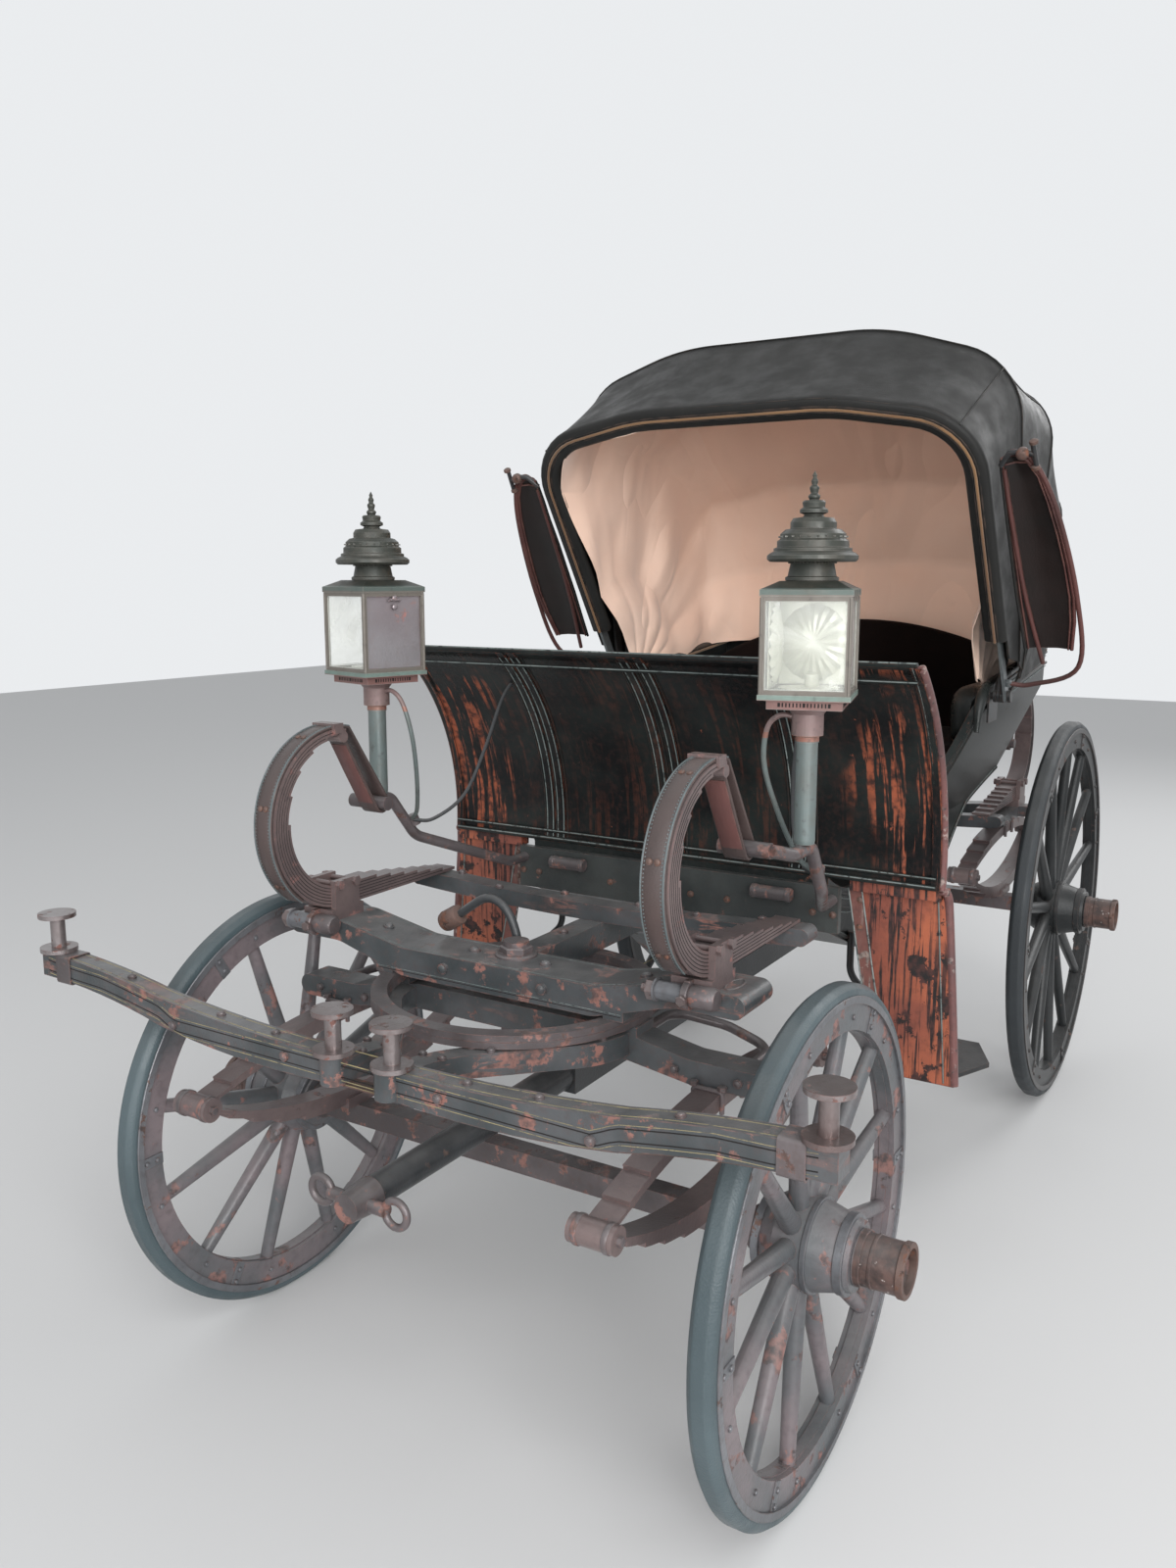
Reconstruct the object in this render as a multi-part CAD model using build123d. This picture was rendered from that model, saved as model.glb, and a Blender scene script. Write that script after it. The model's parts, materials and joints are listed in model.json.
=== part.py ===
from build123d import *
from math import sin, cos, tan, radians, degrees, atan2
import os

# Open horse carriage of the victoria kind, hung by leather braces from four C-springs, with
# elliptic under-springs below them. Millimetres. While it is drawn, X runs forward from the
# rear axle, Y to the carriage's left and Z up from the floor. Every piece is moved back by
# MID_X as it is written, so that the whole stands over its own middle.

# Wheels and axles
WHEELBASE = 1963
TRACK = 1200
FRONT_WHEEL_R = 437
REAR_WHEEL_R = 557.5
TYRE_WIDTH = 40
TYRE_DEPTH = 26
FELLOE_WIDTH = 38
FELLOE_DEPTH = 52
FRONT_SPOKES = 12
REAR_SPOKES = 14
SPOKE_ROOT_R = 18
SPOKE_TIP_R = 13
DISH = 22
NAVE_R = 78
NAVE_IN = 92
NAVE_OUT = 78
NAVE_BAND_R = 64
HUB_CAP_R = 43
HUB_CAP_LEN = 84
HUB_CAP_WALL = 6
ARM_R = 24
ARM_FIT = 0.05
ARM_TIP = 4
AXLE_SIDE = 44
COLLAR_R = 38
COLLAR_LEN = 14
HUB_GAP = 0.5

# Springs
SPRING_Y = 418
LEAF = 7
LEAF_WIDTH = 48
UNDER_SPAN = 810
UNDER_LOWER_SAG = 95
UNDER_UPPER_SAG = 55
LOWER_LEAVES = 5
UPPER_LEAVES = 4
LEAF_SHORTEN = 0.16
CLIP_HALF = 48
CLIP_OVERHANG = 6
BARREL_R = 22
BARREL_LEN = 78
AXLE_BLOCK = 7
C_RADIUS = 176
C_LEAF = 6
C_WIDTH = 50
C_TAIL = 360
C_FOOT_HALF = 45
C_GRIP_HALF = 34
C_GRIP_THICK = 12
C_GRIP_HEIGHT = 56
C_BOLT_X = 22
C_BOLT_R = 5
C_BOLT_Z = 48
C_NUT_R = 10
C_CLIP_HALF = 13
C_CLIP_WIDE = 57
C_CLIP_DOWN = 9
C_CLIP_UP = 11
C_EYE_ANGLE = 95
C_EYE_R = 11
C_FRONT_OFFSET = 47
C_REAR_OFFSET = -150
C_Y = 410
BRACE_THICK = 6
BRACE_WIDTH = 44
BRACE_FIT = 0.3
BRACE_LOW_ANGLE = -52
BRACE_HIGH_ANGLE = 104
SHACKLE_REACH = 130
SHACKLE_DROP = 9
SHACKLE_R = 14
LOOP_BAR_R = 12

# Upper and lower parts of the undercarriage
BED_THICK = 50
BED_DEPTH = 62
BED_RISE = 30
BED_END_Y = 500
BED_END_THICK = 44
BED_SEAT = 42
BED_DIP = 6
BED_BEND = 70
TRANSOM_THICK = 55
TRANSOM_DROP = 30
TRANSOM_END_THICK = 40
TRANSOM_BEND = 90
TRANSOM_HALF = 478
PLATE_R = 255
PLATE_WIDTH = 30
PLATE_THICK = 12
PLATE_GAP = 0.4
PAD_HALF = 20
PAD_DEPTH = 30
TRANSOM_PAD = 40
BEAM_PAD_IN = 16
LOOP_R = 9
LOOP_REACH = 105
LOOP_IN_Z = 736
LOOP_OUT_Z = 702
PERCH_W = 56
PERCH_H = 56
PERCH_LOW_Z = 640
PERCH_BOLT_R = 19
BOLT_FIT = 0.05
HIND_THICK = 32
HIND_DIP = 16
LEAF_CREST = 0.1
RAIL_HALF = 27
RAIL_FRONT = 70
TAIL_BAR_THICK = 34
TAIL_BAR_DEPTH = 48
TAIL_BAR_NOSE = 20
TAIL_BAR_FROM_END = 22

# Splinter bar and pole gear
SPLINTER_X = 2380
SPLINTER_Z = 756
SPLINTER_RISE = 54
SPLINTER_THICK = 46
SPLINTER_DEPTH = 42
SPLINTER_END_Y = 790
SPLINTER_SWELL_Y = 260
SPLINTER_SWELL = 4
SPLINTER_TURN_Y = 470
SPLINTER_NECK_Y = 620
SPLINTER_NECK = 11
POLE_GAP = 70
FUTCHELL_W = 44
FUTCHELL_H = 40
FUTCHELL_NOSE = 16
ROLLER_R = 13.5
ROLLER_FLANGE_R = 34
ROLLER_LEN = 58
ROLLER_FLANGE = 8
OUTER_ROLLER_Y = 768
POLE_R = 31
POLE_Z = 548
POLE_FRONT = 2440
POLE_REAR = 160
POLE_BUTT_X = 1812
POLE_BUTT = 68
POLE_HEAD = 60
POLE_TAPER_R = 26
POLE_PIN_R = 11
POLE_PIN_HALF = 60
POLE_RING_Y = 78
POLE_RING_R = 22
POLE_RING_WIRE = 6.5
SLING_X = (1130, 520)
SLING_HALF = 19
SLING_THICK = 5
SLING_FIT = 0.3

# Body
BODY_FRONT = 1345
BODY_BACK = 0
BODY_WALL = 20
TOE_Z = 785
FLOOR_Z = 695
BODY_TOP_Z = 1330
ELBOW_X = 640
ELBOW_Z = 1236
BODY_LOW_HALF = 375
BODY_TOP_HALF = 518
BODY_BACK_LEAN = 54
TUCK_TOP = (42, 965)
TUCK_CURVE = (250, 885)
TUCK_TURN = (430, 780)
TUCK_RUN = (560, 718)
FLOOR_BACK = 720
FLOOR_FRONT = 1130
SILL_DIP = (1150, 845)
SILL_TURN = (960, 880)
ELBOW_CURVE = (790, 990)
ELBOW_RISE = (700, 1180)
ELBOW_NECK = (675, 1238)
SWELL_LOW_Z = 900
SWELL_Z = 1060
SWELL_OUT = 70
SWELL_HIGH_Z = 1230
CAVITY_RISE = 370
BODY_CLEAR = 95
SEAT_FRONT = 600
SEAT_Z = 1000
CUSHION_THICK = 110
SEAT_BACK_ROOM = 28
SEAT_BOARD = 24
SEAT_FIT = 0.5
CUSHION_BACK = 120
BACK_CUSHION_X = 118
BACK_CUSHION_HALF = 500
BACK_CUSHION_SIDE_Z = 1270
BACK_CUSHION_TOP_Z = 1405
ARM_WIDTH = 118

# Dash, wings and lamps
DASH_HALF = 612
DASH_THICK = 14
DASH_LOW_Z = 905
DASH_TOP_Z = 1368
DASH_FOOT_X = 1325
DASH_TOP_X = 1538
DASH_BELLY = (1378, 1170)
DASH_RIB_HALF = 9
DASH_RIB_PROUD = 6
DASH_RIBS = (-DASH_HALF + 10, -330, -300, -20, 20, 300, 330, DASH_HALF - 10)
WING_INNER_TOP = 420
WING_INNER_LOW = 500
WING_OUTER_TOP = 622
WING_OUTER_LOW = 652
WING_LOW_Z = 487
WING_THICK = 16
LAMP_X = 1777
LAMP_Y = 488
LAMP_TOE_OUT = 15
LAMP_SIDE = 150
LAMP_LOW_Z = 1338
LAMP_HIGH_Z = 1502
LAMP_BAR = 8
LAMP_PANE = 4
LAMP_PANE_FIT = 0.1
LAMP_SILL = (155, 9)
LAMP_GALLERY = (127, 16)
LAMP_LID = (154, 11)
LAMP_LID_SLOPE = (96, 14)
LAMP_CHIMNEY = (  # radius, height above the case
    (41, 24), (45, 26), (45, 31), (41, 33), (36, 57), (72, 57), (76.5, 61), (76.5, 67), (72, 71), (65.5, 74),
    (65.5, 79), (60, 81), (60, 91), (55, 95), (55, 103), (47, 110), (38.5, 112), (38.5, 122), (34, 129),
    (18, 131), (16, 135), (23.5, 138), (23.5, 143), (18, 147), (19.5, 155), (17, 158), (8, 159), (10, 163),
    (10, 166), (6, 170), (8, 177), (8, 180), (4.5, 184), (6, 190), (3, 196), (4, 199), (0, 207),
)
LAMP_SOCKET = (  # radius, depth below the case
    (20.5, 86), (20.5, 76), (27.5, 74), (27.5, 37), (35, 27), (46, 25),
)
STEM_R = 19
STEM_LOW_Z = 1072
STEM_FOOT = (18, 6)
LOOP_BEND_R = 60
LOOP_FOOT_Y = 392
LOOP_FOOT_Z = 862
LOOP_DROP_Z = 960
REAR_LOOP_Y = 344
REAR_LOOP_TURN = (60, 905)
REAR_LOOP_END = (230, 884)

# Hood
HOOD_X = 625
HOOD_Z = 1240
HOOD_HALF = BODY_TOP_HALF + 50
BOW_W = 26
BOW_T = 20
COVER = 7
COVER_FIT = 1.0

FRONT_X = WHEELBASE
MID_X = (POLE_FRONT - REAR_WHEEL_R) / 2

os.makedirs("parts", exist_ok=True)


def write(shape, name):
    export_step(Pos(-MID_X, 0, 0) * shape, f"parts/{name}.step")


def join(shapes):
    """One compound or solid from a list of solids."""
    whole = shapes[0]
    for shape in shapes[1:]:
        whole = whole + shape
    return whole


def both(shape):
    """A piece of the left side, and its mirror image on the right."""
    return Compound(children=[*shape.solids(), *mirror(shape, Plane.XZ).solids()])


def rod(start, end, radius, end_radius=None):
    """Round bar between two points, tapered when a second radius is given."""
    a, b = Vector(*start), Vector(*end)
    plane = Plane(a, z_dir=(b - a).normalized())
    length = (b - a).length
    if end_radius is None:
        return plane * Cylinder(radius, length, align=(Align.CENTER, Align.CENTER, Align.MIN))
    return plane * Cone(radius, end_radius, length, align=(Align.CENTER, Align.CENTER, Align.MIN))


def bent_rod(points, radii, radius):
    """Round bar along straight runs joined by arcs."""
    path = FilletPolyline(*points, radius=radii)
    start = Plane(path @ 0, z_dir=path % 0)
    return sweep(start * Circle(radius), path)


def bar_along(points, radii, across, tall, x_dir=(0, 1, 0)):
    """Square-edged bar along a bent path, `across` wide along x_dir."""
    path = FilletPolyline(*points, radius=radii)
    start = Plane(path @ 0, x_dir=x_dir, z_dir=path % 0)
    return sweep(start * Rectangle(across, tall), path)


def box_between(x0, x1, y0, y1, z0, z1):
    return Pos((x0 + x1) / 2, (y0 + y1) / 2, (z0 + z1) / 2) * Box(x1 - x0, y1 - y0, z1 - z0)


def slab_xz(outline, y0, y1):
    """A face drawn in X and Z, given thickness from y0 to y1."""
    return extrude(Plane((0, y1, 0), x_dir=(1, 0, 0), z_dir=(0, -1, 0)) * outline, y1 - y0)


def slab_yz(outline, x0, x1):
    """A face drawn in Y and Z, given thickness from x0 to x1."""
    return extrude(Plane((x0, 0, 0), x_dir=(0, 1, 0), z_dir=(1, 0, 0)) * outline, x1 - x0)


# Wheels. Each is drawn about its own centre with its axis on Y and its face to +Y.
def wheel(radius, spokes):
    rim_in = radius - TYRE_DEPTH - FELLOE_DEPTH
    felloe = Rot(90, 0, 0) * (
        Cylinder(radius - TYRE_DEPTH, FELLOE_WIDTH) - Cylinder(rim_in, FELLOE_WIDTH + 2)
    )
    bore = ARM_R + ARM_FIT
    cap_end = NAVE_OUT + HUB_CAP_LEN
    nave_profile = Polyline(
        (bore, -NAVE_IN), (NAVE_BAND_R - 8, -NAVE_IN), (NAVE_BAND_R, -NAVE_IN + 20),
        (NAVE_R, -DISH - 26), (NAVE_R, -DISH + 26), (NAVE_BAND_R, NAVE_OUT - 22),
        (NAVE_BAND_R - 6, NAVE_OUT), (HUB_CAP_R, NAVE_OUT), (HUB_CAP_R, cap_end),
        (HUB_CAP_R - HUB_CAP_WALL, cap_end), (HUB_CAP_R - HUB_CAP_WALL, NAVE_OUT + 10),
        (bore, NAVE_OUT + 10), close=True,
    )
    nave = revolve(make_face(nave_profile), Axis.Y)
    pieces = [felloe, nave]
    for i in range(spokes):
        angle = radians(360 * (i + 0.5) / spokes)
        root = (cos(angle) * (NAVE_R - 14), -DISH, sin(angle) * (NAVE_R - 14))
        tip = (cos(angle) * (rim_in + 6), 0, sin(angle) * (rim_in + 6))
        pieces.append(rod(root, tip, SPOKE_ROOT_R, SPOKE_TIP_R))
    return join(pieces)


def tyre(radius):
    inner = radius - TYRE_DEPTH
    half = TYRE_WIDTH / 2
    section = Polyline((inner, -half), (inner + 10, -half - 2), (radius - 8, -half), (radius, -half + 9),
                       (radius, half - 9), (radius - 8, half), (inner + 10, half + 2), (inner, half),
                       close=True)
    return revolve(make_face(section), Axis.Y)


WHEELS = (  # axle, x, wheel radius, spokes
    ("front", FRONT_X, FRONT_WHEEL_R, FRONT_SPOKES),
    ("rear", 0, REAR_WHEEL_R, REAR_SPOKES),
)
for end, x, radius, spokes in WHEELS:
    left_wheel = wheel(radius, spokes)
    left_tyre = tyre(radius)
    for side, sign in (("left", 1), ("right", -1)):
        seat = Pos(x, sign * TRACK / 2, radius)
        turned = Rot(0, 0, 0) if sign > 0 else Rot(0, 0, 180)
        write(seat * turned * left_wheel, f"wheel_{end}_{side}")
        write(seat * turned * left_tyre, f"tyre_{end}_{side}")


# Axles, with a round arm in each wheel
def axle(x, z):
    inner = TRACK / 2 - NAVE_IN - HUB_GAP
    beam = Pos(x, 0, z) * Box(AXLE_SIDE, 2 * (inner - COLLAR_LEN), AXLE_SIDE)
    arm_end = TRACK / 2 + NAVE_OUT + ARM_TIP
    arms = [Pos(x, sign * (inner - COLLAR_LEN + arm_end) / 2, z) * Rot(90, 0, 0)
            * Cylinder(ARM_R, arm_end - inner + COLLAR_LEN) for sign in (1, -1)]
    collars = [
        Pos(x, sign * (inner - COLLAR_LEN / 2), z) * Rot(90, 0, 0) * Cylinder(COLLAR_R, COLLAR_LEN)
        for sign in (1, -1)
    ]
    return join([beam, *collars, *arms])


write(axle(FRONT_X, FRONT_WHEEL_R), "front_axle")
write(axle(0, REAR_WHEEL_R), "rear_axle")


# Elliptic under-springs: a lower pack on the axle and an upper pack under the bed, eye to eye
def leaf_pack(half_span, sag, leaves, sign):
    """Stack of curved leaves in X and Z with its eyes at Z = 0, each leaf shorter than the last."""
    radius = (half_span ** 2 + sag ** 2) / (2 * sag)
    pieces = []
    for i in range(leaves):
        reach = half_span * (1 - LEAF_SHORTEN * i)
        inner, outer = radius + i * LEAF, radius + (i + 1) * LEAF
        half_angle = degrees(atan2(reach, radius - sag))
        ring = Circle(outer) - Circle(inner)
        wedge = make_face(Polyline(
            (0, 0), (2 * radius * sin(radians(half_angle)), -2 * radius * cos(radians(half_angle))),
            (-2 * radius * sin(radians(half_angle)), -2 * radius * cos(radians(half_angle))), close=True))
        pieces.append(ring & wedge)
    face = join(pieces)
    pack = Pos(0, 0, radius - sag) * slab_xz(face, -LEAF_WIDTH / 2, LEAF_WIDTH / 2)
    return pack if sign < 0 else mirror(pack, Plane.XY)


def under_spring(x, axle_z):
    seat_z = axle_z + AXLE_SIDE / 2 + AXLE_BLOCK
    eye_z = seat_z + LOWER_LEAVES * LEAF + UNDER_LOWER_SAG
    lower = leaf_pack(UNDER_SPAN / 2, UNDER_LOWER_SAG, LOWER_LEAVES, -1)
    upper = leaf_pack(UNDER_SPAN / 2, UNDER_UPPER_SAG, UPPER_LEAVES, 1)
    eyes = [Pos(sign * UNDER_SPAN / 2, 0, 0) * Rot(90, 0, 0) * Cylinder(BARREL_R, BARREL_LEN)
            for sign in (1, -1)]
    block = box_between(-CLIP_HALF, CLIP_HALF, -LEAF_WIDTH / 2 - CLIP_OVERHANG, LEAF_WIDTH / 2 + CLIP_OVERHANG,
                        -UNDER_LOWER_SAG - LOWER_LEAVES * LEAF - AXLE_BLOCK,
                        -UNDER_LOWER_SAG - LOWER_LEAVES * LEAF + 2 * LEAF)
    return Pos(x, SPRING_Y, eye_z) * join([lower, upper, *eyes, block])


def spring_top(axle_z):
    return (axle_z + AXLE_SIDE / 2 + AXLE_BLOCK + LOWER_LEAVES * LEAF
            + UNDER_LOWER_SAG + UNDER_UPPER_SAG + UPPER_LEAVES * LEAF)


FRONT_BED_Z = spring_top(FRONT_WHEEL_R)
REAR_BED_Z = spring_top(REAR_WHEEL_R)
write(both(under_spring(FRONT_X, FRONT_WHEEL_R)), "front_under_springs")
write(both(under_spring(0, REAR_WHEEL_R)), "rear_under_springs")


# Fore-carriage: bed, wheel plate, futchells, splinter bar and roller bolts
def bowed_beam(half, low_z, rise, thick, nose):
    """Outline in Y and Z of a cross-beam with round noses whose middle is higher, or lower, than its ends."""
    high, middle_z = low_z + thick, low_z + thick / 2
    return make_face([
        ThreePointArc((-half, low_z), (-half - nose, middle_z), (-half, high)),
        ThreePointArc((-half, high), (0, high + rise), (half, high)),
        ThreePointArc((half, high), (half + nose, middle_z), (half, low_z)),
        ThreePointArc((half, low_z), (0, low_z + rise), (-half, low_z)),
    ])


def arched_beam(half, seat_in, seat_low, seat_thick, middle_out, middle_low, middle_thick, bend):
    """Outline in Y and Z of a cross-beam that sweeps in an S-curve from its middle to flat seats."""
    def edge(seat_z, middle_z):
        return FilletPolyline((-half, seat_z), (-seat_in, seat_z), (-middle_out, middle_z),
                              (middle_out, middle_z), (seat_in, seat_z), (half, seat_z), radius=bend)
    top = edge(seat_low + seat_thick, middle_low + middle_thick)
    bottom = edge(seat_low, middle_low)
    nose = seat_thick * 0.55
    ends = []
    for sign, at in ((-1, 0), (1, 1)):
        ends.append(ThreePointArc(bottom @ at, (sign * (half + nose), seat_low + seat_thick / 2), top @ at))
    return make_face([*top.edges(), *bottom.edges(), *ends])


PLATE_Z = FRONT_BED_Z + BED_THICK + BED_RISE
bed_front, bed_back = FRONT_X + BED_DEPTH / 2, FRONT_X - BED_DEPTH / 2
bolt_hole = Pos(FRONT_X, 0, PLATE_Z) * Cylinder(PERCH_BOLT_R + BOLT_FIT, 300)
pads = [box_between(bed_back, bed_front, y - PAD_HALF, y + PAD_HALF, PLATE_Z - PAD_DEPTH, PLATE_Z)
        for y in (-PLATE_R, PLATE_R)]
bed = slab_yz(arched_beam(BED_END_Y, SPRING_Y - BED_SEAT, FRONT_BED_Z, BED_END_THICK, PLATE_R - BED_SEAT,
                          PLATE_Z - BED_THICK - BED_DIP, BED_THICK, BED_BEND), bed_back, bed_front)
bed = join([bed, *pads]) - bolt_hole
write(bed, "front_bed")

ring = Cylinder(PLATE_R + PLATE_WIDTH / 2, PLATE_THICK) - Cylinder(PLATE_R - PLATE_WIDTH / 2, PLATE_THICK + 2)
write(Pos(FRONT_X, 0, PLATE_Z + PLATE_THICK / 2) * ring, "lower_wheel_plate")

futchell_y = POLE_GAP / 2 + FUTCHELL_W / 2
futchell = bar_along(
    [(SPLINTER_X + FUTCHELL_NOSE, futchell_y, SPLINTER_Z), (SPLINTER_X - 120, futchell_y, SPLINTER_Z - 18),
     (FRONT_X + 90, PLATE_R - 20, PLATE_Z - 30), (FRONT_X - 70, PLATE_R - 10, PLATE_Z - 36)],
    [160, 160], FUTCHELL_W, FUTCHELL_H)
nose = Pos(SPLINTER_X + FUTCHELL_NOSE, futchell_y, SPLINTER_Z) * Cylinder(FUTCHELL_W / 2, 48)
futchell = futchell + nose

inner_low = SPLINTER_Z - SPLINTER_THICK / 2
outer_low = inner_low + SPLINTER_RISE
inner_top, outer_top = inner_low + SPLINTER_THICK, outer_low + SPLINTER_THICK
turn_low = inner_low + SPLINTER_RISE * 0.3
turn_top = inner_top + SPLINTER_RISE * 0.4
spine = make_face([
    Line((POLE_GAP / 2, inner_low), (POLE_GAP / 2, inner_top)),
    ThreePointArc((POLE_GAP / 2, inner_top), (SPLINTER_SWELL_Y, inner_top + SPLINTER_SWELL),
                  (SPLINTER_TURN_Y, turn_top)),
    ThreePointArc((SPLINTER_TURN_Y, turn_top), (SPLINTER_NECK_Y, outer_top - SPLINTER_NECK),
                  (SPLINTER_END_Y, outer_top)),
    Line((SPLINTER_END_Y, outer_top), (SPLINTER_END_Y, outer_low)),
    ThreePointArc((SPLINTER_END_Y, outer_low), (SPLINTER_NECK_Y, outer_low - SPLINTER_NECK),
                  (SPLINTER_TURN_Y, turn_low)),
    ThreePointArc((SPLINTER_TURN_Y, turn_low), (SPLINTER_SWELL_Y, inner_low - SPLINTER_SWELL),
                  (POLE_GAP / 2, inner_low)),
])
splinter = slab_yz(spine, SPLINTER_X - SPLINTER_DEPTH / 2, SPLINTER_X + SPLINTER_DEPTH / 2) - futchell
write(both(max(splinter.solids(), key=lambda piece: piece.volume)), "splinter_bar")
futchell = max((futchell - bed).solids(), key=lambda piece: piece.volume)
write(both(futchell), "futchells")


def roller(x, y, z):
    """Spool that a trace loops round, standing on the splinter bar."""
    stem = Pos(x, y, z + ROLLER_LEN / 2 + ROLLER_FLANGE) * Cylinder(ROLLER_R, ROLLER_LEN + 2)
    flanges = [Pos(x, y, z + lift + ROLLER_FLANGE / 2) * Cylinder(ROLLER_FLANGE_R, ROLLER_FLANGE)
               for lift in (0, ROLLER_LEN + ROLLER_FLANGE)]
    return join([stem, *flanges])


outer_roller = roller(SPLINTER_X, OUTER_ROLLER_Y, outer_top)
inner_roller = roller(SPLINTER_X + 10, futchell_y + 4, SPLINTER_Z + 24)
write(Compound(children=[*both(outer_roller).solids(), *both(inner_roller).solids()]), "roller_bolts")

# Curved irons from the futchells round to the clips at the bed's ends
loop_in, loop_out = PLATE_R + 6, SPRING_Y + 40
loop_iron = bent_rod([(bed_back, loop_in, LOOP_IN_Z), (bed_back - LOOP_REACH, loop_in, LOOP_IN_Z),
                      (bed_back - LOOP_REACH - 25, (loop_in + loop_out) / 2, (LOOP_IN_Z + LOOP_OUT_Z) / 2),
                      (bed_back - LOOP_REACH, loop_out, LOOP_OUT_Z), (bed_back, loop_out, LOOP_OUT_Z)],
                     [50, 60, 50], LOOP_R)
write(both(loop_iron), "bed_irons")

# Transom and perch of the upper carriage, joined to the bed by the perch bolt
C_FRONT_X = FRONT_X + C_FRONT_OFFSET
UPPER_Z = PLATE_Z + PLATE_THICK + PLATE_GAP
write(Pos(FRONT_X, 0, UPPER_Z + PLATE_THICK / 2) * ring, "upper_wheel_plate")

TRANSOM_Z = UPPER_Z + PLATE_THICK
FOOT_HEIGHT = 22
transom_front, transom_back = C_FRONT_X + 32, FRONT_X - 34
seat_top = TRANSOM_Z + TRANSOM_DROP + TRANSOM_THICK
transom_seat = C_Y - C_WIDTH / 2 - BEAM_PAD_IN
transom = slab_yz(arched_beam(TRANSOM_HALF, transom_seat, seat_top - TRANSOM_END_THICK, TRANSOM_END_THICK,
                              PLATE_R - BED_SEAT, TRANSOM_Z, TRANSOM_THICK, TRANSOM_BEND),
                  transom_back, transom_front) - bolt_hole
transom_pads = [box_between(transom_back, transom_front, y - PAD_HALF, y + PAD_HALF,
                            TRANSOM_Z, TRANSOM_Z + TRANSOM_PAD) for y in (-PLATE_R, PLATE_R)]
transom = join([transom, *transom_pads])
write(transom, "transom")

bolt_top = TRANSOM_Z + TRANSOM_THICK
bolt = join([
    Pos(FRONT_X, 0, (FRONT_BED_Z + BED_RISE - 22 + bolt_top) / 2)
    * Cylinder(PERCH_BOLT_R, bolt_top - FRONT_BED_Z - BED_RISE + 26),
    Pos(FRONT_X, 0, bolt_top + 14.5) * Cylinder(24, 28),
    Pos(FRONT_X, 0, FRONT_BED_Z + BED_RISE - 15) * Cylinder(30, 18),
])
write(bolt, "perch_bolt")

C_FRONT_Z = TRANSOM_Z + TRANSOM_DROP + TRANSOM_THICK + FOOT_HEIGHT + C_RADIUS
REAR_FRAME_Z = REAR_BED_Z + 33
C_REAR_Z = REAR_FRAME_Z + FOOT_HEIGHT + C_RADIUS
PERCH_HIGH_Z = TRANSOM_Z + PERCH_H / 2
PERCH_BACK_Z = REAR_FRAME_Z - 54
REAR_BED_X = C_REAR_OFFSET
perch_end = REAR_BED_X + 30
perch = bar_along(
    [(transom_back, 0, PERCH_HIGH_Z), (FRONT_X - PLATE_R - 190, 0, PERCH_HIGH_Z),
     (1290, 0, PERCH_LOW_Z), (430, 0, PERCH_LOW_Z), (270, 0, PERCH_BACK_Z), (perch_end, 0, PERCH_BACK_Z)],
    [120, 160, 160, 120], PERCH_W, PERCH_H)
write(perch, "perch")


# C-springs: leaves rolled about one centre, running out into a tail towards the body
C_LEAVES = (  # angle at which the leaf ends above, share of the tail that it runs along
    (98, 1.0), (90, 0.88), (80, 0.76), (64, 0.64), (46, 0.52), (26, 0.40), (4, 0.28),
)


def c_spring():
    """One C-spring about its own centre, open to -X, with its foot at the lowest point."""
    pieces = []
    for i, (top_angle, share) in enumerate(C_LEAVES):
        outer, inner = C_RADIUS - i * C_LEAF, C_RADIUS - (i + 1) * C_LEAF
        a = radians(top_angle)
        middle = radians((top_angle - 90) / 2)
        reach = -C_TAIL * share
        outer_side, outer_tip = (outer * cos(middle), outer * sin(middle)), (outer * cos(a), outer * sin(a))
        inner_side, inner_tip = (inner * cos(middle), inner * sin(middle)), (inner * cos(a), inner * sin(a))
        pieces.append(make_face([
            ThreePointArc((0, -outer), outer_side, outer_tip), Line(outer_tip, inner_tip),
            ThreePointArc(inner_tip, inner_side, (0, -inner)), Line((0, -inner), (reach, -inner)),
            Line((reach, -inner), (reach, -outer)), Line((reach, -outer), (0, -outer)),
        ]))
    return slab_xz(join(pieces), -C_WIDTH / 2, C_WIDTH / 2)


def top_clip():
    """Clip over the brace at the spring's top, and the roller eye inside the end of its main leaf."""
    clip = box_between(-C_CLIP_HALF, C_CLIP_HALF, -C_CLIP_WIDE / 2, C_CLIP_WIDE / 2,
                       C_RADIUS - C_CLIP_DOWN, C_RADIUS + C_CLIP_UP)
    room = Circle(C_RADIUS + BRACE_THICK + 2 * BRACE_FIT) - Circle(C_RADIUS)
    clip = clip - slab_xz(room, -BRACE_WIDTH / 2 - BRACE_FIT, BRACE_WIDTH / 2 + BRACE_FIT)
    eye_at, angle = C_RADIUS - C_LEAF - C_EYE_R + 1, radians(C_EYE_ANGLE)
    eye = Pos(eye_at * cos(angle), 0, eye_at * sin(angle)) * Rot(90, 0, 0) * Cylinder(C_EYE_R, C_CLIP_WIDE)
    return clip, eye


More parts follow.
